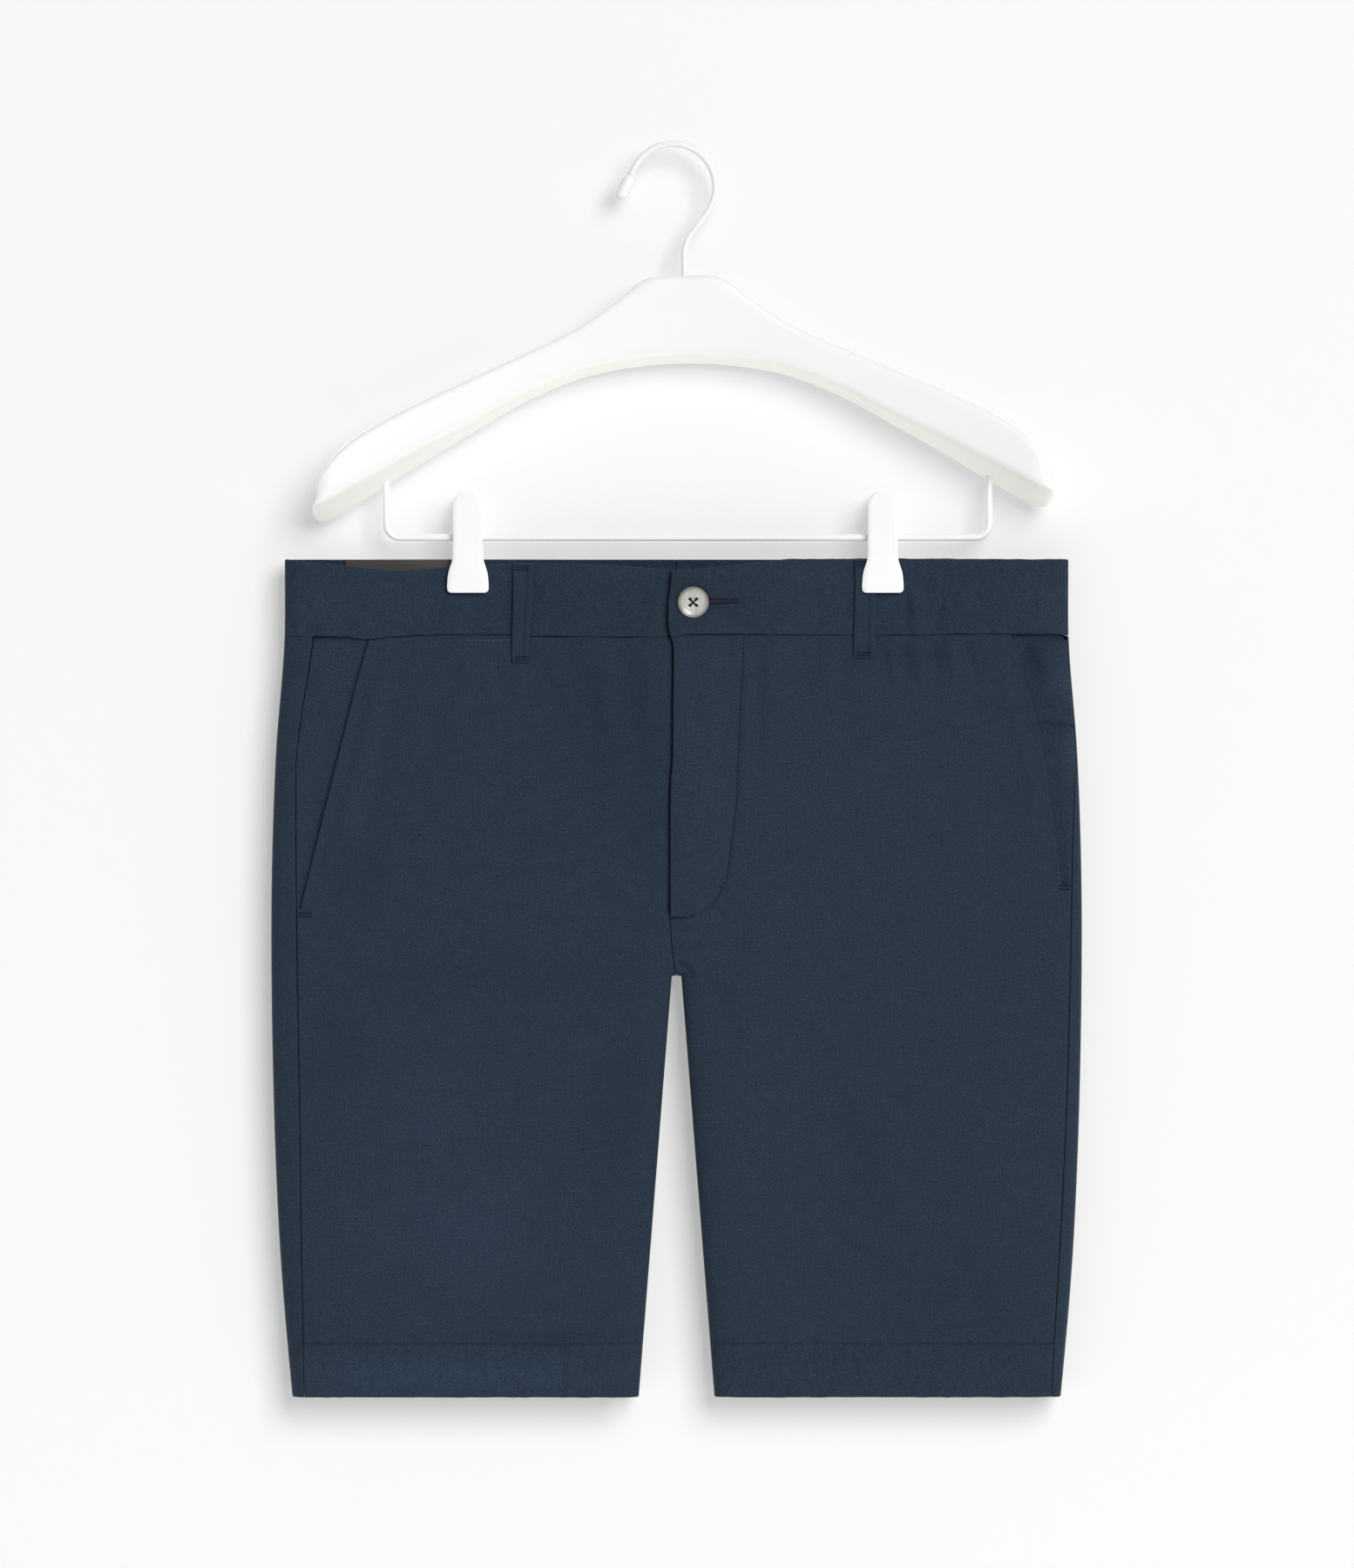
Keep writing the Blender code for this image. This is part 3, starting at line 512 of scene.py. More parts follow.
weft, warp = streaks(0.0110, 0.0011), streaks(0.0012, 0.0150)
speck, patch = streaks(0.0011, 0.0011, 1.5), streaks(0.0120, 0.0100, 3.0)
slub = calculate(weave, "MULTIPLY_ADD", weft, 0.7, warp)
shade = calculate(weave, "MULTIPLY_ADD", slub, given["Slubs"], 1.0)
shade = calculate(weave, "MULTIPLY_ADD", speck, given["Specks"], shade)
shade = calculate(weave, "MULTIPLY_ADD", patch, given["Patches"], shade)
turns = calculate(weave, "DIVIDE", math.pi, given["Pitch"])
over, under = (
    calculate(
        weave, "SINE", calculate(weave, "MULTIPLY", part_of(weave, given["Place"], axis), turns)
    )
    for axis in "XY"
)
crossing = calculate(weave, "MULTIPLY", over, under)
weave.links.new(shade, result.inputs["Shade"])
height = calculate(weave, "MULTIPLY_ADD", slub, 2.2, crossing)
crinkled = calculate(weave, "MULTIPLY", streaks(0.0048, 0.0056), given["Crinkle"])
weave.links.new(calculate(weave, "MULTIPLY_ADD", crinkled, 50.0, height), result.inputs["Height"])


def finish_of(name, colour, roughness, specular=0.5, **constants):
    """A material with its Principled shader: (material, tree, shader)."""
    material = bpy.data.materials.new(name)
    material.use_nodes = True
    shader = material.node_tree.nodes["Principled BSDF"]
    shader.inputs["Base Color"].default_value = (*colour, 1.0)
    shader.inputs["Roughness"].default_value = roughness
    shader.inputs["Specular IOR Level"].default_value = specular
    for key, value in constants.items():
        shader.inputs[key.replace("_", " ")].default_value = value
    material.diffuse_color = (*colour, 1.0)
    return material, material.node_tree, shader


HEM_CRINKLE = 1.6


def woven(name, colour, pitch=0.0005, slubs=0.30, specks=1.45, patches=0.24, crinkle=0.20,
          bump=0.30):
    """Woven cloth of that colour; the turned-up hem is more crinkled than the rest."""
    material, tree, shader = finish_of(
        name, colour, 0.88, 0.22, Sheen_Weight=0.06, Sheen_Roughness=0.5
    )
    place = add(tree, "ShaderNodeUVMap", uv_map="cloth").outputs[0]
    fold = HEM_Z + HEM_DEPTH
    crinkled = ramp(tree, part_of(tree, place, "Y"), fold, fold + 0.008, HEM_CRINKLE, crinkle)
    threads = add(
        tree, "ShaderNodeGroup",
        {
            "Place": place, "Pitch": pitch, "Slubs": slubs, "Specks": specks,
            "Patches": patches, "Crinkle": crinkled,
        },
        node_tree=weave,
    )  # fmt: skip
    # the cloth's colour is scaled by each vertex's factor of painted shade and light, with some
    # uneven washing
    creases_wash_and_shade = add(tree, "ShaderNodeAttribute", attribute_name="shade_and_wash").outputs["Fac"]
    weave_wash_and_shade = calculate(tree, "MULTIPLY", threads.outputs["Shade"], creases_wash_and_shade)
    tree.links.new(scaled(tree, colour, weave_wash_and_shade), shader.inputs["Base Color"])
    bumped(tree, shader, threads.outputs["Height"], bump, 0.00012)
    return material


NAVY = (0.0158, 0.0290, 0.0495)
navy_cloth = woven("navy cloth", NAVY)


# ================ leg panels
# Two fronts and two backs. Each back goes round the folded side to its side seam, a little
# in front of the fold. The hems are turned up 31 mm inside and stitched.
SIDES = {"right": -1, "left": 1}
SideSeam = namedtuple("SideSeam", "z right left")
SIDE_SEAMS = in_mm(
    SideSeam,
    (-281, 16.5, 0.8), (-346, 12, 0.8), (-384, 13, 3.8), (-440, 14.5, 6), (-565, 14.5, 7.5),
    (-655, 11, 7.5), (-717, 6.6, 5.5),
)
Mouth = namedtuple("Mouth", "z away")
POCKET_MOUTHS = {
    "right": in_mm(Mouth, (-280, 176.5), (-360, 196.7), (-437.5, 215.7)),
    "left": in_mm(Mouth, (-280, 191.5), (-308, 200.5), (-330, 206.8), (-362, 212.5), (-423, 220.5)),
}
PITCH = 0.0021
FINE_PITCH = 0.0015
EDGE_ROLL, SEAM_ROLL, MOUTH_ROLL = 0.0007, 0.0005, 0.0010
TUCKED, INSEAM_GAP = 0.0040, 0.00006


def seam_x(side, z):
    return half_width(z) - read(SIDE_SEAMS, z, side)


def panel_heights():
    """Rows of a leg panel, from behind the waistband to the hem, with one at the crotch."""
    top = BAND_SEAM_Z - SEAM / 2
    tucked = [top + TUCKED, top + TUCKED / 2, top + 0.0002]
    upper = np.concatenate([tucked, top - stations(top - CROTCH_Z, FINE_PITCH)])
    stitched = HEM_Z + HEM_DEPTH
    leg = CROTCH_Z - 0.0001 - stations(CROTCH_Z - 0.0001 - stitched, PITCH)
    hem = stitched - stations(stitched - HEM_Z, PITCH)[1:]
    return np.concatenate([upper, leg, hem])


def hem_lift(x, z):
    """The turned-up hem stands out a little below its stitching, which pulls it in."""
    stitched = HEM_Z + HEM_DEPTH
    below = np.clip(stitched - z, 0.0, HEM_DEPTH) / HEM_DEPTH
    fold = 0.00035 * ease((stitched - z) / 0.0015) + np.where(x < 0, 0.0020, 0.0006) * below
    groove = 0.00030 * bell(z - stitched, 0.0007)
    pull = 0.00012 * np.sin(x * 610 + 1.3 * np.sin(x * 97)) * bell(z - stitched + 0.001, 0.005)
    return fold - groove + pull


def waist_pull(x, z):
    """Small gathers in the cloth where it is eased into the waistband."""
    below = np.maximum(BAND_SEAM_Z - z, 0.0)
    ripple = np.sin(x * 330 + 2.1 * np.sin(x * 41)) * np.exp(-below / 0.006)
    return 0.00022 * ripple - 0.00085 * np.exp(-below / 0.0016)


def mouth_lift(x, z):
    """The pockets' mouths are folded edges that stand a little off the facings."""
    total = 0.0
    for side, sign in SIDES.items():
        mouth = POCKET_MOUTHS[side]
        near = bell(sign * x - read(mouth, z, "away"), 0.0030)
        ends = ease((z - mouth[-1].z) / 0.012) * ease((BAND_SEAM_Z - z) / 0.012)
        total = total + 0.0006 * near * ends
    return total


def panel_lift(x, z):
    near_hem = ease((HEM_Z + HEM_DEPTH + 0.004 - z) / 0.006)
    dents = crumple(x, z, 0.011, 1.0) * (0.00005 + 0.00020 * near_hem)
    return hem_lift(x, z) + waist_pull(x, z) + mouth_lift(x, z) + dents


Corner = namedtuple("Corner", "x z")
FLY_STITCHING = in_mm(
    Corner,
    (38.8, -281.5), (37.5, -305), (36.3, -325), (35.2, -350), (34.3, -374.5), (31.5, -399.5),
    (29, -418), (25.7, -426), (23, -430.8), (19, -436.2), (13.7, -439.2), (8, -441.2),
)


def off_line(x, z, corners):
    """Distance of places from a line of corners."""
    nearest = np.full(np.broadcast(x, z).shape, 1.0)
    for a, b in zip(corners, corners[1:]):
        run_x, run_z = b.x - a.x, b.z - a.z
        along = ((x - a.x) * run_x + (z - a.z) * run_z) / (run_x**2 + run_z**2)
        along = np.clip(along, 0.0, 1.0)
        away = np.hypot(x - a.x - run_x * along, z - a.z - run_z * along)
        nearest = np.minimum(nearest, away)
    return nearest


def fly_lift(x, z):
    """The lap of the fly, with a groove along its curved topstitching."""
    away = off_line(x, z, FLY_STITCHING)
    pulled = 1 + 0.5 * np.sin(z * 2500) + 0.4 * np.sin(z * 700 + 4 * np.sin(z * 130))
    groove = 0.00060 * bell(away, 0.0008) + 0.00035 * bell(away, 0.0030) * pulled
    return panel_lift(x, z) + lap_raise(x, z, FLY_RAISE, FLY_END_Z - 0.014) - groove


def wall_at(z):
    return np.where(z < HEM_Z + HEM_DEPTH, HEM_CLOTH, CLOTH)


def tuck_under(z):
    """The seam allowance goes in behind the waistband; at the seam the cloth rolls under."""
    below = BAND_SEAM_Z - SEAM / 2 - z
    return np.where(below < -1e-6, BAND_CLOTH + 2 * SEAM, rounded(np.abs(below), SEAM_ROLL))


def between(start, end, share):
    return start + (end - start) * share


def towards_fold(share):
    """Shares of a width, moved closer together towards the folded side."""
    return 1 - (1 - share) ** 1.15


def beside_fly(x, z):
    """The right front sinks towards the fly's lapped edge, which presses on it."""
    near = bell(x - fly_x(z), 0.0030) * ease((z - FLY_END_Z) / 0.004)
    return panel_lift(x, z) - 0.00300 * near


heights = panel_heights()
centre_roll = np.where(heights < CROTCH_Z, 0.00012, EDGE_ROLL)
front_columns = {"right": stations(0.21, FINE_PITCH)}
near_fly = np.arange(0.0018, 0.0435, 0.0006)
beyond = stations(0.21, 1.15 * FINE_PITCH)
beyond = beyond[beyond > near_fly[-1] + 0.0006]
front_columns["left"] = np.concatenate([stations(0.21, PITCH)[:5], near_fly, beyond])
front_panels, back_panels = {}, {}
for side, sign in SIDES.items():
    z = heights[None, :]
    mouth = POCKET_MOUTHS[side]
    outer = np.where(z > mouth[-1].z, read(mouth, z, "away"), seam_x(side, z) - SEAM)
    inner = np.where(z < CROTCH_Z, leg_gap(z) + INSEAM_GAP, sign * fly_x(z) + SEAM / 2)
    share = front_columns[side][:, None] / front_columns[side][-1]
    x = sign * between(inner, outer, share)
    z = z + seam_rise(x, z)
    front_panels[side] = cloth(
        f"front_panel_{side}", x, z, -1, wall_at(z), under=tuck_under(heights)[None, :],
        lift=fly_lift if side == "left" else beside_fly,
        edges=(centre_roll, MOUTH_ROLL, 0, EDGE_ROLL), start=sign * 0.5,
    )

    z = heights[None, :]
    edge = half_width(z)
    wrap = shares(0.015, 0.0015)[:0:-1, None] ** 2  # closest at the fold
    inner = np.where(z < CROTCH_Z, leg_gap(z) + INSEAM_GAP, SEAM / 2)
    share = towards_fold(shares(0.225, PITCH)[::-1, None])
    front_part = edge - wrap * read(SIDE_SEAMS, z, side)
    x = sign * np.concatenate([front_part, between(inner, edge, share)])
    face = np.where(np.arange(len(x)) < len(front_part), -1, 1)[:, None]
    z = np.broadcast_to(z, x.shape)
    back_panels[side] = cloth(
        f"back_panel_{side}", x, z, face, wall_at(z), under=tuck_under(z), lift=panel_lift,
        edges=(EDGE_ROLL, centre_roll, 0, EDGE_ROLL), start=sign * 1.5,
    )

CutSize = namedtuple("CutSize", "width length area")


def dress(piece, node):
    """A piece rides on the part's one body and stands for its solid."""
    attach(piece, "root")
    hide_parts(node)


def hang(piece, node):
    """A hung piece of the shorts."""
    dress(piece, node)


for side in SIDES:
    hang(front_panels[side], f"front_{side}")
    hang(back_panels[side], f"back_{side}")


# ================ pocket facings
# The slanting pockets' facings lie behind the fronts, sewn into the side seam and the
# waist. Bags hang behind them unseen. The left one is slack and has a crease across it.
FACING_UNDER, FACING_END = 0.030, 0.010
FACING_SLACK = {"right": 0.0011, "left": 0.0005}
FACING_CREASES = in_mm(
    Crease,
    (208, -332.5, 233, -333.5, 2.4, -2.2), (209, -341.5, 233, -344, 5.2, 2.4),
    (212, -319, 233, -321.5, 3.6, 2.6), (206, -300, 230, -311, 7, 3),
    (197, -283, 206, -303, 4.2, -2.6), (212, -362, 228, -369, 4, -1.2),
    (214, -374, 230, -378, 4, 1.2), (-205, -300, -196, -330, 5, 1.2),
    (-214, -350, -204, -390, 4, -1.2),
)


def facing_lift(x, z):
    return creased(x, z, FACING_CREASES) + waist_pull(x, z)


for side, sign in SIDES.items():
    mouth = POCKET_MOUTHS[side]
    top = BAND_SEAM_Z - SEAM / 2
    end = mouth[-1].z - FACING_END
    z = top - np.concatenate([[-TUCKED, -TUCKED / 2], stations(top - end, PITCH / 2)])[None, :]
    edge = read(mouth, z, "away")
    outer = seam_x(side, z) - SEAM
    x = sign * between(edge - FACING_UNDER, outer, shares(0.045, PITCH / 2)[:, None])
    z = z + seam_rise(x, z)
    # behind the front and the waistband, and up level with the back at the side seam
    shown = ease((sign * x - edge - 0.0010) / np.maximum(outer - edge - 0.0022, 0.0004))
    shown = shown * ease((top - z) / 0.004)
    behind = np.where(
        z > top - TUCKED, BAND_CLOTH + 2 * SEAM, CLOTH + SEAM + FACING_SLACK[side]
    )
    facing = cloth(
        f"pocket_facing_{side}_cloth", x, z, -1, 0.0010,
        under=behind * (1 - shown) + 0.00005 * shown, lift=facing_lift,
        edges=(0, EDGE_ROLL, 0, 0), start=sign * 2.5,
    )
    hang(facing, f"pocket_facing_{side}")


# ================ stitching
# Sewing thread a shade darker than the cloth: lockstitches along the hems and the fly, and
# dense bar tacks where a pocket, the fly or a belt loop takes strain.
def thread(name, colour):
    """Twisted sewing thread: its plies catch the light unevenly."""
    material, tree, shader = finish_of(name, colour, 0.6, 0.3)
    twist = noise(tree, on_object(tree), 1500.0, 1.0)
    lit = calculate(tree, "MULTIPLY_ADD", twist, 0.9, 0.55)
    tree.links.new(scaled(tree, colour, lit), shader.inputs["Base Color"])
    bumped(tree, shader, twist, 0.5, 0.0001)
    return material


navy_thread = thread("navy thread", (0.0045, 0.0080, 0.0190))
plum_thread = thread("plum thread", (0.0085, 0.0075, 0.0210))
faded_thread = thread("faded thread", (0.170, 0.205, 0.250))
TACK_PITCH = 0.00042


def stitch(bm, middle, ahead, side, up):
    """Adds one stitch to a bmesh: a bead as long, wide and thick as the three vectors."""
    stretched = Matrix((ahead, side, up)).transposed().to_4x4()
    place = Matrix.Translation(Vector(middle)) @ stretched
    bmesh.ops.create_icosphere(bm, subdivisions=1, radius=0.5, matrix=place)


def sew(bm, path, face, lift, pitch=0.0026, length=0.0019, thick=0.00042, rise=0.00010,
        stand=None):
    """Adds stitches along a path of (x, z) on the cloth, or on what stands off it."""
    path = np.asarray(path, float)
    run = np.concatenate([[0], np.cumsum(np.hypot(*np.diff(path, axis=0).T))])
    count = max(1, round(run[-1] / pitch))
    middles = (np.arange(count) + 0.5) * run[-1] / count
    ends = []
    for offset in (-length / 2, length / 2):
        at = np.clip(middles + offset, 0, run[-1])
        x, z = np.interp(at, run, path[:, 0]), np.interp(at, run, path[:, 1])
        points, out = skin(x, z, face, lift)
        off = rise if stand is None else rise + stand(z)[:, None]
        ends.append(points + out * off)
    for start, stop, normal in zip(*ends, out):
        ahead = Vector(stop - start)
        side = Vector(normal).cross(ahead).normalized()
        normal = ahead.cross(side).normalized()
        stitch(bm, (start + stop) / 2, ahead, side * thick, normal * thick)


def stitched(name, bm, material):
    made = finished(name, bm, material)
    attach(made, "root")
    return made


def bar_tack(bm, x0, z0, x1, z1, face, lift, width=0.0016, stand=None):
    """Close zigzag stitches across a short line."""
    length = math.hypot(x1 - x0, z1 - z0)
    start, run = np.array((x0, z0)), np.array((x1 - x0, z1 - z0))
    aside = np.array((run[1], -run[0])) / length * width / 2
    count = round(length / TACK_PITCH)
    for i in range(count):
        near, far = start + run * i / count - aside, start + run * (i + 1) / count + aside
        sew(bm, (near, far), face, lift, 1.0, width, 0.00040, 0.00028, stand)


def hem_path(side, face):
    """Along the hem's stitching, from the inseam to the side seam, or round to it."""
    sign = SIDES[side]
    z = HEM_Z + HEM_DEPTH
    outer = seam_x(side, z) if face < 0 else half_width(z) - 0.002
    inner = leg_gap(z) + 0.002
    return [(sign * inner, z), (sign * (inner + outer) / 2, z), (sign * outer, z)]


for side in SIDES:
    bm = bmesh.new()
    for face in (-1, 1):
        sew(bm, hem_path(side, face), face, panel_lift)
    stitched(f"hem_stitches_{side}", bm, navy_thread)

FLY_TACK_Z = -0.4423
bm = bmesh.new()
sew(bm, FLY_STITCHING, -1, fly_lift, pitch=0.0025, length=0.0017, thick=0.00080, rise=0.00040)
bar_tack(
    bm, fly_x(FLY_TACK_Z) + 0.0006, FLY_TACK_Z, 0.0085, FLY_TACK_Z + 0.0006, -1, fly_lift
)
stitched("fly_stitches", bm, navy_thread)

bm = bmesh.new()
for sign, near, far, z in ((-1, 0.2090, 0.2172, -0.4395), (1, 0.2192, 0.2257, -0.4238)):
    for drop in (0.0, 0.0020):
        bar_tack(bm, sign * near, z - drop, sign * far, z - drop, -1, panel_lift, width=0.0010)
stitched("pocket_bar_tacks", bm, plum_thread)

bm = bmesh.new()
sew(
    bm, [(-0.1205, -0.2832), (-0.1080, -0.2834), (-0.0955, -0.2830)], -1, panel_lift,
    pitch=0.0023, length=0.0010, thick=0.00045, rise=0.00045,
)
stitched("waist_seam_stitches", bm, faded_thread)


# ================ fly underlap
# The fly opens under the lap. A strip of the same cloth, sewn to the right front and into
# the waistband, lies behind the opening and narrows to its foot.
SHIELD_WIDTH, SHIELD_END_Z = 0.0350, -0.4300
top = BAND_SEAM_Z - SEAM / 2
z = top - stations(top - SHIELD_END_Z, PITCH)[None, :]
down = (z[0, 0] - z) / (z[0, 0] - SHIELD_END_Z)
width = SHIELD_WIDTH * (1 - 0.45 * ease((down - 0.7) / 0.3))
x = fly_x(z) + SEAM + width * shares(SHIELD_WIDTH, PITCH)[:, None]
shield = cloth("fly_underlap", x, np.broadcast_to(z, x.shape), -1, CLOTH, under=0.0001, start=3.5)
hang(shield, "fly_shield")


# ================ waistband
# Two halves of doubled, stiffened cloth, joined at the centre back. The wearer's left end
# laps over the right one, which runs on under it. The front's top edge sags between clips.
UNDERLAP = 0.0380
Sag = namedtuple("Sag", "x drop")
FRONT_SAG = in_mm(
    Sag,
    (-225, 0), (-215, 1.2), (-181, 4.6), (-157.5, 6.4), (-131, 4.7), (-100, 2.3), (-44.5, 3.3),
    (0, 5.9), (32, 3.5), (67, 0), (225, 0),
)
BAND_CREASES = in_mm(
    Crease,
    (-212, -262, -180, -247, 8, 0.4), (-75, -258, -30, -262, 7, -0.3),
    (-60, -268, -20, -271, 5, 0.3), (40, -249, 85, -252, 7, 0.3),
    (135, -262, 200, -256, 8, -0.35), (150, -246, 190, -244, 6, 0.3), (6, -240, 18, -252, 5, 0.3),
    (131, -255, 132.5, -278.5, 2.4, -1.2), (137, -256, 138, -278.5, 3, 1),
    (116.5, -257, 117.5, -279, 2.2, -0.8), (149, -266, 150, -279, 3, -0.6),
    (163, -266, 164, -279, 3.4, 0.7), (-100, -262, -98, -279, 3, -0.7),
    (-128, -260, -129, -279, 3, 0.7), (-70, -264, -71, -279, 3, -0.6),
)


def band_lift(x, z):
    near_seam = np.exp(-np.maximum(z - BAND_SEAM_Z, 0.0) / 0.007)
    wave = 0.00030 * near_seam * np.sin(x * 300 + 1.7 * np.sin(x * 37))
    return creased(x, z, BAND_CREASES) + wave + 0.00026 * crumple(x, z, 0.010, 2.0)


def under_band_lift(x, z):
    """The right half sinks where the lapped end presses on it."""
    return band_lift(x, z) - 0.0032 * bell(x - fly_x(z), 0.0030)


def lapped_band_lift(x, z):
    return band_lift(x, z) + lap_raise(x, z, BAND_RAISE)


stiff_navy = woven("stiffened navy cloth", NAVY, crinkle=1.6)
bottom, edge = BAND_SEAM_Z + SEAM / 2, half_width(WAIST_Z)
down = shares(0.0432, 0.0020)[None, :]
level = between(WAIST_Z, bottom, down)
folding = towards_fold(shares(0.225, PITCH))[:, None]
for side, sign in SIDES.items():
    lift = lapped_band_lift if side == "left" else under_band_lift
    start = fly_x(level) if side == "left" else np.full_like(level, -UNDERLAP)
    along = sign * between(start, edge, folding[:-1])
    front_top = WAIST_Z - read(FRONT_SAG, along, "drop", "x")
    front_z = between(front_top, bottom + seam_rise(along, BAND_SEAM_Z), down)
    back_z = np.broadcast_to(level, (len(folding), down.shape[1]))
    front_x = between(start, half_width(front_z), folding[:-1])
    back_x = between(SEAM / 2, half_width(back_z), folding[::-1])
    x, z = sign * np.concatenate([front_x, back_x]), np.concatenate([front_z, back_z])
    face = np.where(np.arange(len(x)) < len(front_x), -1, 1)[:, None]
    band = cloth(
        f"waistband_{side}_half", x, z, face, BAND_CLOTH, lift=lift,
        edges=(0.0008, 0.0005, 0.0009, 0.0008), start=sign * 4.5, material=stiff_navy,
    )
    hang(band, f"waistband_{side}")


# ================ belt loops
# Folded strips of the cloth, turned under and bar tacked at both ends, with one line of
# stitching down them. All but one taper a little towards the bottom.
LOOP_WIDTH = 0.0118
Loop = namedtuple("Loop", "node x face ease end taper")
BELT_LOOPS = (
    Loop("belt_loop_front_right", -0.0880, -1, 0.0013, -0.2960, 0.20),
    Loop("belt_loop_front_left", 0.1078, -1, 0.0002, -0.2935, -0.06),
    Loop("belt_loop_back_right", -0.1620, 1, 0.0013, -0.2963, 0.10),
    Loop("belt_loop_back_left", 0.1620, 1, 0.0013, -0.2955, 0.10),
    Loop("belt_loop_back_centre", 0.0000, 1, 0.0013, -0.2963, 0.10),
)
STITCH_SHARE, RIDGE_SHARE = 0.68, 0.86
for loop in BELT_LOOPS:
    sag = float(read(FRONT_SAG, loop.x, "drop", "x")) if loop.face < 0 else 0.0
    top = WAIST_Z - sag - 0.0002
    length = top - loop.end

    def off_band(z):
        """How far a loop's outside stands off the band and the leg below it."""
        bulge = np.sin(math.pi * np.clip((top - z) / length, 0, 1))
        return SEAM + CLOTH + 0.0003 + loop.ease * bulge

    z = top - stations(length, 0.0010)[None, :]
    down = (top - z) / length
    narrow = LOOP_WIDTH * (1.0 - loop.taper * down)
    left = loop.x - LOOP_WIDTH / 2 + 0.0004 * np.sin(down * 5)
    share = shares(LOOP_WIDTH, 0.0005)[:, None]
    x = left + narrow * share
    groove = bell((share - STITCH_SHARE) * LOOP_WIDTH, 0.0006)
    ridge = bell((share - RIDGE_SHARE) * LOOP_WIDTH, 0.0011)
    tacked = bell(top - z - 0.0030, 0.0016) + bell(z - loop.end - 0.0020, 0.0014)
    lean = off_band(z) - 0.00040 * groove + 0.00025 * ridge - 0.00030 * tacked
    strip = cloth(
        loop.node + "_strip", x, np.broadcast_to(z, x.shape), loop.face, CLOTH, under=-lean,
        edges=(0.0006, 0.0006, 0.0005, 0.0005), start=5.5 + loop.x,
    )
    bm = bmesh.new()
    path = np.stack([left[0] + narrow[0] * STITCH_SHARE, z[0]], axis=1)[5:-5]
    sew(bm, path, loop.face, None, thick=0.00040, rise=-0.00028, stand=off_band)
    middle = left[0].mean() + LOOP_WIDTH * 0.46
    for tack_z, half in (
        (top - 0.0018, 0.0052), (top - 0.0036, 0.0052),
        (loop.end + 0.0030, 0.0042), (loop.end + 0.0013, 0.0042),
    ):
        bar_tack(
            bm, middle - half, tack_z, middle + half, tack_z, loop.face, None, width=0.0008,
            stand=off_band,
        )
    stitched(loop.node + "_stitches", bm, navy_thread)
    hang(strip, loop.node)


# ================ inside patch
# A plain dark patch of smooth satin, a hand's width long, sewn flat inside the back of the
# waistband on the wearer's right.
PATCH_X, PATCH_WIDTH, PATCH_HEIGHT = -0.1900, 0.0795, 0.0320
satin = woven(
    "inside patch", (0.070, 0.063, 0.062), pitch=0.00028, slubs=0.10, specks=0.08, patches=0.05,
    bump=0.12,
)
top = WAIST_Z - 0.0003
x = PATCH_X + stations(PATCH_WIDTH, 0.0016)[:, None]
z = top - stations(PATCH_HEIGHT, 0.0016)[None, :]
x, z = np.broadcast_arrays(x, z)
patch = cloth(
    "inside_patch_cloth", x, z, 1, 0.0008, under=BAND_CLOTH + SEAM, start=6.5, material=satin
)
hang(patch, "inside_patch")


# ================ button and buttonhole
# A four-hole button of grey horn-like resin, with a thin darker rim and a dished face, sewn
# with a cross of dark thread. The buttonhole beside it is bound with close stitches.
BUTTON_X, BUTTON_Z, BUTTON_R, BUTTON_THICK = 0.0096, -0.2609, 0.0090, 0.0032
HOLE_R, HOLE_OUT = 0.00095, 0.0018
button_spot, button_out = skin(BUTTON_X, BUTTON_Z, -1, lapped_band_lift)
button_turn = Vector(button_out).to_track_quat("Z", "Y").to_matrix().to_4x4()
on_button = Matrix.Translation(Vector(button_spot) + Vector(button_out) * SEAM) @ button_turn

horn, tree, shader = finish_of(
    "horn button", (0.50, 0.50, 0.47), 0.28, 0.5, Coat_Weight=0.3, Coat_Roughness=0.12
)
centred = add(
    tree, "ShaderNodeVectorMath", {0: on_object(tree), 1: tuple(-on_button.translation)},
    operation="ADD",
).outputs[0]
radius = add(tree, "ShaderNodeVectorMath", {0: centred}, operation="LENGTH").outputs["Value"]
swirl = ramp(tree, noise(tree, centred, 160.0, 3.0, Distortion=0.8), 0.3, 0.7, 0.0, 1.0)
pale = mix(tree, swirl, (0.40, 0.395, 0.37, 1), (0.62, 0.62, 0.585, 1))
rim = ramp(tree, radius, BUTTON_R * 0.84, BUTTON_R * 0.95, 0.0, 0.85)
brown_side = ramp(tree, part_of(tree, centred, "X"), -BUTTON_R, -BUTTON_R * 0.45, 0.8, 0.0)
browned = calculate(tree, "MULTIPLY", brown_side, swirl)
rimmed = mix(tree, rim, pale, (0.20, 0.185, 0.165, 1))
toned = mix(tree, browned, rimmed, (0.16, 0.085, 0.045, 1))
tree.links.new(toned, shader.inputs["Base Color"])


def lathe(profile, steps):
    """A bmesh turned from a profile of (radius, height)."""
    bm = bmesh.new()
    corners = [bm.verts.new((radius, 0, height)) for radius, height in profile]
    edges = [bm.edges.new(pair) for pair in zip(corners, corners[1:])]
    bmesh.ops.spin(
        bm, geom=corners + edges, cent=(0, 0, 0), axis=(0, 0, 1), angle=2 * math.pi,
        steps=steps, use_merge=True,
    )
    bmesh.ops.remove_doubles(bm, verts=bm.verts[:], dist=1e-6)
    bmesh.ops.recalc_face_normals(bm, faces=bm.faces[:])
    return bm


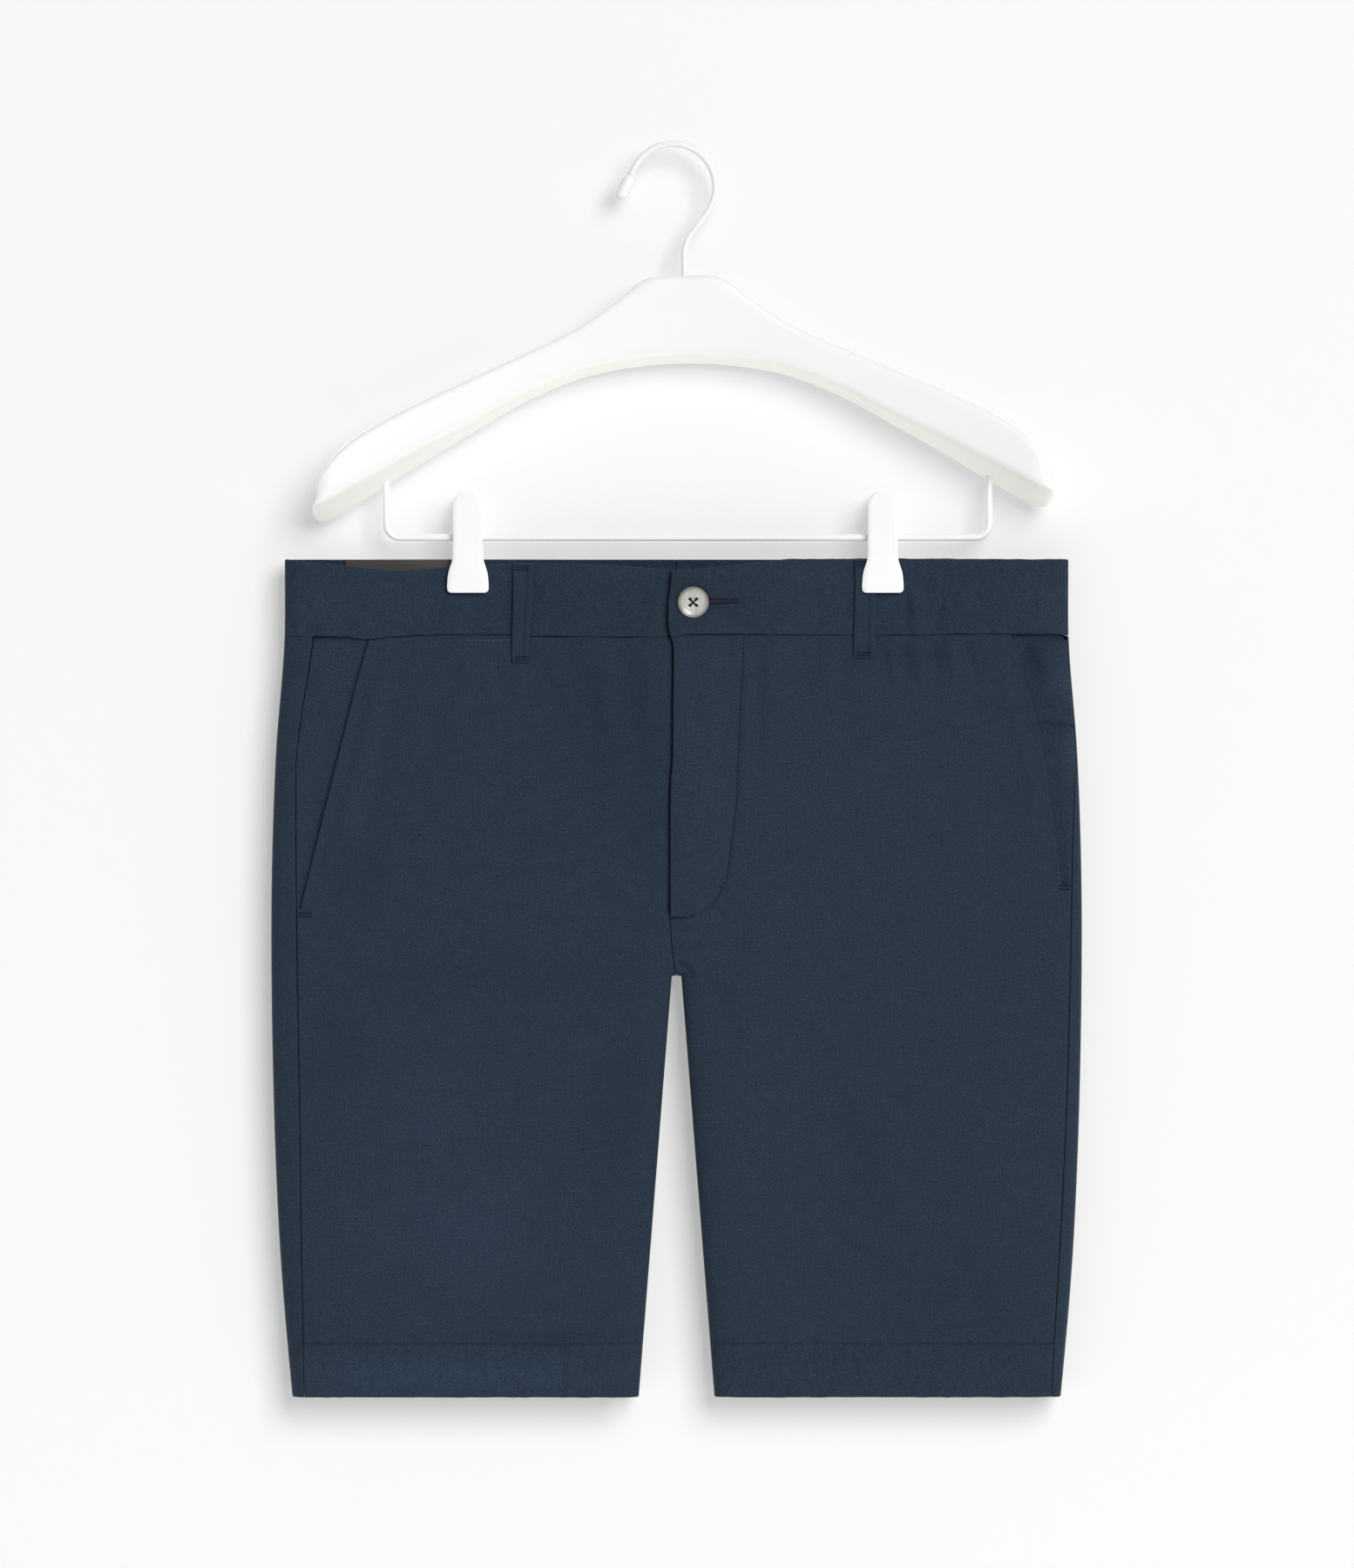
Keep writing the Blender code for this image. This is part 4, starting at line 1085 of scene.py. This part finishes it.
# shares of the radius and the thickness: the dished face, the rim's groove, the round back
BUTTON_PROFILE = (
    (0, 0.66), (0.35, 0.66), (0.52, 0.68), (0.66, 0.76), (0.76, 0.90), (0.80, 0.97),
    (0.83, 0.99), (0.86, 0.90), (0.89, 0.89), (0.93, 0.95), (0.97, 0.88), (1, 0.68),
    (1, 0.45), (0.96, 0.28), (0.80, 0.10), (0.45, 0), (0, 0),
)  # fmt: skip
bm = lathe([(out * BUTTON_R, BUTTON_THICK * up) for out, up in BUTTON_PROFILE], 72)
button = finished("button_horn", bm, horn)
bm = bmesh.new()
hole_places = []
for i in range(4):
    angle = math.pi / 4 + i * math.pi / 2
    at = Vector((math.cos(angle), math.sin(angle), 0)) * HOLE_OUT * math.sqrt(2)
    hole_places.append(at)
    bmesh.ops.create_cone(
        bm, cap_ends=True, segments=20, radius1=HOLE_R, radius2=HOLE_R,
        depth=4 * BUTTON_THICK, matrix=Matrix.Translation(at),
    )
drills = finished("drills", bm, horn)
modifier = button.modifiers.new("holes", "BOOLEAN")
modifier.operation = "DIFFERENCE"
modifier.object = drills
graph = bpy.context.evaluated_depsgraph_get()
drilled = bpy.data.meshes.new_from_object(button.evaluated_get(graph))
button.modifiers.clear()
button.data = drilled
drilled.transform(on_button)
bpy.data.objects.remove(drills)
dress(button, "button")

BEADS, STRAND = 10, 0.00036
bm = bmesh.new()
for start, stop in (hole_places[0::2], hole_places[1::2]):
    ahead = stop - start
    side = Vector((0, 0, 1)).cross(ahead).normalized()
    for strand in (-STRAND, 0, STRAND):
        rope = []
        for k in range(BEADS + 1):
            height = BUTTON_THICK * 0.66 + 0.0006 * max(0, math.sin(math.pi * k / BEADS)) ** 0.5
            rope.append(start + ahead * k / BEADS + side * strand + Vector((0, 0, height - 0.0002)))
        for a, b in zip(rope, rope[1:]):
            up = (b - a).normalized().cross(side)
            stitch(bm, (a + b) / 2, (b - a) * 1.5, side * STRAND, up * STRAND)
bmesh.ops.transform(bm, matrix=on_button, verts=bm.verts[:])
stitched("button_thread", bm, navy_thread)

SLIT_X0, SLIT_X1, SLIT_Z = 0.0150, 0.0352, -0.2607
bm = bmesh.new()
for step in np.arange(SLIT_X0, SLIT_X1, TACK_PITCH):
    reach = 0.0025 - 0.0010 * (step - SLIT_X0) / (SLIT_X1 - SLIT_X0)
    for up in (-1, 1):
        path = [(step, SLIT_Z + up * 0.0003), (step + 0.0001, SLIT_Z + up * reach)]
        sew(bm, path, -1, lapped_band_lift, 1.0, reach - 0.0001, 0.00048, 0.00020)
bar_tack(
    bm, SLIT_X1, SLIT_Z - 0.0014, SLIT_X1, SLIT_Z + 0.0014, -1, lapped_band_lift, width=0.0014
)
stitched("buttonhole_stitches", bm, plum_thread)


# ================ hanger body
# Bentwood-shaped hanger in white lacquer: flat front, a sloping underside that widens to
# the ends, and thick rounded ends that bow forward. Holes below take the bar.
Shoulder = namedtuple("Shoulder", "out top ridge low")
SHOULDERS = in_mm(
    Shoulder,
    (0, -74, -119.2, -125), (18, -74.2, -119.9, -125.7), (25, -77.2, -120.6, -126.4),
    (42, -90, -122.9, -128.8), (61, -102.8, -127.2, -133.2), (92, -117.4, -139.8, -146.2),
    (123, -131.1, -156.5, -164), (150, -143.2, -169.7, -180), (172, -154, -181.6, -194),
    (189, -164, -190.6, -204.5), (201, -175.2, -197.4, -211.2), (208.5, -186.8, -200.6, -212),
    (212, -196.8, -202.6, -207.8),
)
HANGER_X, HANGER_TILT, HANGER_END, TIP_ROUND = 0.0058, 0.020, 0.2120, 0.0200
HANGER_HALF_THICK, HANGER_FLARE, HANGER_BOW = 0.0090, 0.0100, 0.0110

WHITE, BOUNCE_TINT_WHITE = (0.900, 0.900, 0.898, 1), (0.90, 0.88, 0.83, 1)
lacquer, tree, shader = finish_of("white lacquer", WHITE[:3], 0.42, 0.3, Emission_Strength=1.0)
where = on_object(tree)
long_grain = add(tree, "ShaderNodeMapping", {"Vector": where, "Scale": (14, 260, 260)}).outputs[0]
grain = noise(tree, long_grain, 1.0, 4.0)
tone = calculate(tree, "MULTIPLY_ADD", noise(tree, where, 55.0, 2.0), 0.02, 0.990)
# painted bounce light: going by its normal, the underside is tinted warm and glows faintly,
# standing in for light from the pale room below
upward = part_of(tree, add(tree, "ShaderNodeNewGeometry").outputs["Normal"], "Z")
under = ramp(tree, upward, -0.25, -0.85, 0.0, 1.0)
bounce_tinted = mix(tree, under, WHITE, BOUNCE_TINT_WHITE)
tree.links.new(scaled(tree, bounce_tinted, tone), shader.inputs["Base Color"])
# the underside's faint glow is painted bounce light, though the hanger is no lamp
tree.links.new(scaled(tree, (0.18, 0.175, 0.16), under), shader.inputs["Emission Color"])
tree.links.new(calculate(tree, "MULTIPLY_ADD", grain, 0.12, 0.34), shader.inputs["Roughness"])
bumped(tree, shader, grain, 0.10, 0.0002)

AROUND, LONG, CORNER = 64, 180, 0.27
bm = bmesh.new()
bmesh.ops.create_grid(bm, x_segments=AROUND, y_segments=LONG, size=0.5)
for v in bm.verts:
    share = 2 * v.co.y
    x = HANGER_END * math.copysign(1 - (1 - abs(share)) ** 1.35, share)
    angle = 2 * math.pi * (v.co.x + 0.5)
    forward, up = (
        math.copysign(abs(k) ** CORNER, k) for k in (math.cos(angle), math.sin(angle))
    )
    top, ridge, low = (
        float(read(SHOULDERS, abs(x), key, "out")) for key in ("top", "ridge", "low")
    )
    away = (abs(x) / HANGER_END) ** 2
    half = (HANGER_HALF_THICK + HANGER_FLARE * away) * float(
        turn(HANGER_END + 0.0008 - abs(x), TIP_ROUND)
    )
    bottom = low + (ridge - low) * (forward + 1) / 2
    z = bottom + (top - bottom) * (up + 1) / 2
    v.co = (HANGER_X + x, -HANGER_BOW * away - half * forward, z + HANGER_TILT * x)
bmesh.ops.remove_doubles(bm, verts=bm.verts[:], dist=1e-6)
bmesh.ops.holes_fill(bm, edges=bm.edges[:], sides=AROUND + 2)
bmesh.ops.recalc_face_normals(bm, faces=bm.faces[:])
dress(finished("hanger_arms", bm, lacquer), "hanger_body")


# ================ hook and bar
# One wire hook with a thick dipped tip, and one wire bar, both of 4 mm steel in a white
# coat. The hook's stem and the bar's ends are pushed into holes in the hanger.
WIRE_R, HOOK_R, STEM_X, STEM_BEND_R = 0.0020, 0.0245, 0.0067, 0.0200
HOOK_LEAN, HOOK_TAIL = math.radians(36), math.radians(154)
TAIL_WIRE, TIP_LENGTH, TIP_R, STEM_END_Z = 0.0047, 0.0155, 0.0040, -0.0880
BAR_Z, BAR_BEND_R, BAR_X, SOCKET_TOP_Z = -0.2240, 0.0075, (-0.1642, 0.1815), -0.1723

DIPPED_WHITE = (0.900, 0.900, 0.893)
coating, tree, shader = finish_of(
    "white coated wire", DIPPED_WHITE, 0.35, 0.5, Coat_Weight=0.2, Coat_Roughness=0.2
)
dips = noise(tree, on_object(tree), 420.0, 2.0)
tone = calculate(tree, "MULTIPLY_ADD", dips, 0.05, 0.97)
tree.links.new(scaled(tree, DIPPED_WHITE, tone), shader.inputs["Base Color"])
bumped(tree, shader, dips, 0.12, 0.0002)

WIRE_SIDES = 20


def arc(centre, radius, start, end, count):
    """Points round an upright circle, from one angle to another."""
    turns = [start + (end - start) * i / count for i in range(count + 1)]
    return [
        Vector((centre[0] + radius * math.cos(a), 0.0, centre[1] + radius * math.sin(a)))
        for a in turns
    ]


def wire(name, points, node):
    """Round wire: a circle swept along its points, closed at both ends."""
    bm = bmesh.new()
    bmesh.ops.create_circle(bm, cap_ends=False, segments=WIRE_SIDES, radius=WIRE_R)
    rings = [bm.edges[:]]
    for _ in points[1:]:
        grown = bmesh.ops.extrude_edge_only(bm, edges=rings[-1])["geom"]
        rings.append([e for e in grown if isinstance(e, bmesh.types.BMEdge) and e.is_boundary])
    bm.verts.ensure_lookup_table()
    for k, point in enumerate(points):
        before, after = points[max(k - 1, 0)], points[min(k + 1, len(points) - 1)]
        ahead = (after - before).normalized()
        side = Vector((0, 1, 0))
        other = ahead.cross(side)
        for v in bm.verts[k * WIRE_SIDES : (k + 1) * WIRE_SIDES]:
            v.co = point + other * v.co.x + side * v.co.y
    bmesh.ops.holes_fill(bm, edges=bm.edges[:], sides=WIRE_SIDES)
    bmesh.ops.recalc_face_normals(bm, faces=bm.faces[:])
    dress(finished(name, bm, coating), node)


crown = arc((0.0, WIRE_R - HOOK_R), HOOK_R, -HOOK_LEAN, HOOK_TAIL, 64)
lean = Vector((-math.sin(HOOK_LEAN), 0.0, -math.cos(HOOK_LEAN)))
corner = crown[0] + lean * (crown[0].x - STEM_X) / math.sin(HOOK_LEAN)
tangent = STEM_BEND_R * math.tan(HOOK_LEAN / 2)
bend = arc(
    (STEM_X + STEM_BEND_R, corner.z - tangent), STEM_BEND_R, math.pi, math.pi - HOOK_LEAN, 14
)
tail = Vector((-math.sin(HOOK_TAIL), 0.0, math.cos(HOOK_TAIL)))
wire(
    "hook_wire", [Vector((STEM_X, 0, STEM_END_Z)), *bend, *crown, crown[-1] + tail * TAIL_WIRE],
    "hook",
)
wire(
    "bar_wire",
    [
        Vector((BAR_X[0], 0, SOCKET_TOP_Z)),
        *arc((BAR_X[0] + BAR_BEND_R, BAR_Z + BAR_BEND_R), BAR_BEND_R, math.pi, 1.5 * math.pi, 16),
        *arc((BAR_X[1] - BAR_BEND_R, BAR_Z + BAR_BEND_R), BAR_BEND_R, -0.5 * math.pi, 0, 16),
        Vector((BAR_X[1], 0, SOCKET_TOP_Z)),
    ],
    "trouser_bar",
)

profile = [(0.0, 0.0), (0.55, 0.0), (0.72, 0.0005), (0.86, 0.0016), (0.96, 0.0034), (1.0, 0.0052)]
profile = [(share * TIP_R, height) for share, height in profile]
for i in range(1, 13):
    angle = i * math.pi / 24
    profile.append((TIP_R * math.cos(angle), TIP_LENGTH - TIP_R * (1 - math.sin(angle))))
bm = lathe(profile, 40)
turned = tail.to_track_quat("Z", "Y").to_matrix().to_4x4()
tip_place = Matrix.Translation(crown[-1] + tail * (TAIL_WIRE + 0.0001))
bmesh.ops.transform(bm, matrix=tip_place @ turned, verts=bm.verts[:])
dress(finished("hook_dipped_tip", bm, coating), "hook_tip")


# ================ clips
# Two moulded jaws a side, on a sleeve that slides on the bar. Each jaw is flat above, has a
# narrow neck and flares to a wide foot, whose ribbed pad presses on the waistband.
Jaw = namedtuple("Jaw", "down width lean")
JAW_ROWS = in_mm(
    Jaw,
    (0, 4.8, 3.6), (0.4, 7.8, 3.6), (1.2, 10.8, 3.5), (2.6, 13.8, 3.3), (5, 16.1, 3),
    (9, 17.1, 2.6), (18, 17.2, 1.5), (30, 17.2, 0.4), (37, 17.4, 0), (40.5, 18.7, 0),
    (43.2, 20.6, 0), (47, 22.6, 0), (52, 23.6, 0), (55.3, 23.7, 0), (56.9, 22.8, 0),
    (57.8, 20.3, 0),
)
JAW_FACE, JAW_THICK, LIP, LIP_TOP_Z, LIP_END_Z = 0.0049, 0.0022, 0.0018, -0.2400, -0.2545
RIB, RIB_PITCH = 0.00018, 0.0018
jaw_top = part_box("clip_left_front_jaw")[1].z

MOULDED_WHITE = (0.920, 0.920, 0.920)
plastic, tree, shader = finish_of("white moulded plastic", MOULDED_WHITE, 0.38, 0.45)
where = on_object(tree)
pores = noise(tree, where, 900.0, 2.0)
tone = calculate(tree, "MULTIPLY_ADD", noise(tree, where, 70.0, 1.0), 0.03, 0.985)
tree.links.new(scaled(tree, MOULDED_WHITE, tone), shader.inputs["Base Color"])
tree.links.new(calculate(tree, "MULTIPLY_ADD", pores, 0.15, 0.32), shader.inputs["Roughness"])
bumped(tree, shader, pores, 0.08, 0.0001)

JAW_COLUMNS, JAW_STEPS = 16, 72
for label, clip_x in CLIPS.items():
    for jaw_name, face in (("front", -1), ("back", 1)):
        over_loop = label == "left" and face == -1
        bm = bmesh.new()
        bmesh.ops.create_grid(bm, x_segments=JAW_COLUMNS, y_segments=JAW_STEPS, size=0.5)
        grown = bmesh.ops.extrude_face_region(bm, geom=bm.faces[:])["geom"]
        inside = {v for v in grown if isinstance(v, bmesh.types.BMVert)}
        for v in bm.verts:
            across = 2 * v.co.x
            reach = v.co.y + 0.5
            down = JAW_ROWS[-1].down * (1 - math.cos(math.pi * reach)) / 2
            width, leaning = (
                float(read(JAW_ROWS, down, key, "down")) for key in ("width", "lean")
            )
            z = jaw_top - down
            side = math.sin(across * math.pi / 2) * 0.35 + across * 0.65
            if v in inside:
                rib = RIB * math.cos((z - LIP_TOP_Z) * 2 * math.pi / RIB_PITCH)
                grip = float(ease((LIP_TOP_Z - z) / 0.0008) * ease((z - LIP_END_Z) / 0.0008))
                if over_loop and across < 0.05:
                    grip = 0.0
                y = JAW_FACE + leaning - (LIP + rib - RIB) * grip
            else:
                border = min(1 - abs(across), 0.3) / 0.3
                y = JAW_FACE + leaning + JAW_THICK - 0.0006 * (1 - border) ** 2
            v.co = (clip_x + side * width / 2, face * y, z)
        bmesh.ops.recalc_face_normals(bm, faces=bm.faces[:])
        jaw = finished(f"clip_{label}_{jaw_name}_moulding", bm, plastic)
        soft = jaw.modifiers.new("rounded edges", "BEVEL")
        soft.width = 0.0004
        soft.segments = 3
        soft.limit_method = "ANGLE"
        soft.angle_limit = math.radians(50)
        dress(jaw, f"clip_{label}_{jaw_name}_jaw")
    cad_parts[f"clip_{label}_sleeve"].material_slots[0].material = plastic


# ================ floor, light and camera
# A plain white wall that sweeps out into a floor, an even white room, and a big soft lamp
# from the upper right, with weak ones below and behind. Seen from its back the sweep lets
# sight through, and the lamp behind it lights only what the eye meets first.
sweep_material, tree, shader = finish_of(
    "white sweep", (0.58, 0.58, 0.58), 0.9, 0.0, Emission_Strength=0.347
)
shader.inputs["Emission Color"].default_value = (1, 1, 1, 1)
geometry = add(tree, "ShaderNodeNewGeometry")
path = add(tree, "ShaderNodeLightPath")
clear = add(tree, "ShaderNodeBsdfTransparent")
first = calculate(tree, "LESS_THAN", path.outputs["Diffuse Depth"], 0.5)
lit_from_behind = calculate(tree, "MULTIPLY", path.outputs["Is Shadow Ray"], first)
through = calculate(tree, "MAXIMUM", geometry.outputs["Backfacing"], lit_from_behind)
mixed = add(
    tree, "ShaderNodeMixShader", {0: through, 1: shader.outputs[0], 2: clear.outputs[0]}
)
tree.links.new(mixed.outputs[0], tree.nodes["Material Output"].inputs["Surface"])

WALL_Y, FLOOR_Z, SWEEP_R = 0.0185, -1.15, 0.35
bm = bmesh.new()
bmesh.ops.create_grid(bm, x_segments=1, y_segments=40, size=0.5)
for v in bm.verts:
    along = (v.co.y + 0.5) * 40
    x = v.co.x * 8
    if along <= 10:
        v.co = (x, WALL_Y - SWEEP_R - 3.5 * (1 - along / 10), FLOOR_Z)
    elif along <= 30:
        angle = math.pi / 2 * (along - 10) / 20
        v.co = (
            x, WALL_Y - SWEEP_R + SWEEP_R * math.sin(angle),
            FLOOR_Z + SWEEP_R - SWEEP_R * math.cos(angle),
        )
    else:
        v.co = (x, WALL_Y, FLOOR_Z + SWEEP_R + 3.0 * (along - 30) / 10)
bmesh.ops.recalc_face_normals(bm, faces=bm.faces[:])
if sum(face.normal.z for face in bm.faces) < 0:
    bmesh.ops.reverse_faces(bm, faces=bm.faces[:])
sweep = finished("sweep", bm, sweep_material)
sweep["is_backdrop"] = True

world = bpy.data.worlds.new("white room")
world.use_nodes = True
world.node_tree.nodes["Background"].inputs["Color"].default_value = (1, 1, 1, 1)
world.node_tree.nodes["Background"].inputs["Strength"].default_value = 0.14
bpy.context.scene.world = world


def lamp(name, place, target, size, watts):
    data = bpy.data.lights.new(name, "AREA")
    data.shape = "SQUARE"
    data.size = size
    data.energy = watts
    made = bpy.data.objects.new(name, data)
    made.location = place
    made.rotation_euler = (Vector(target) - Vector(place)).to_track_quat("-Z", "Y").to_euler()
    bpy.context.scene.collection.objects.link(made)
    return made


lamp("key light", (4.95, -12.05, 4.55), (0, 0, -0.4), 7.6, 1590)
lamp("fill light", (-2.20, -4.60, -3.40), (0, 0, -0.4), 3.0, 5)
lamp("rear light", (-1.42, 3.46, 1.02), (0, 0, -0.4), 2.4, 95)

VIEW_AWAY, LENS = 7.0, 280.0
camera_data = bpy.data.cameras.new("camera")
camera_data.lens = LENS
camera_data.sensor_width = 36.0
camera = bpy.data.objects.new("camera", camera_data)
camera.location = (0.0025, -VIEW_AWAY, -0.3655)
camera.rotation_euler = (math.pi / 2, 0, 0)
bpy.context.scene.collection.objects.link(camera)
bpy.context.scene.camera = camera
bpy.context.scene.view_settings.view_transform = "Standard"

low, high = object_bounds()
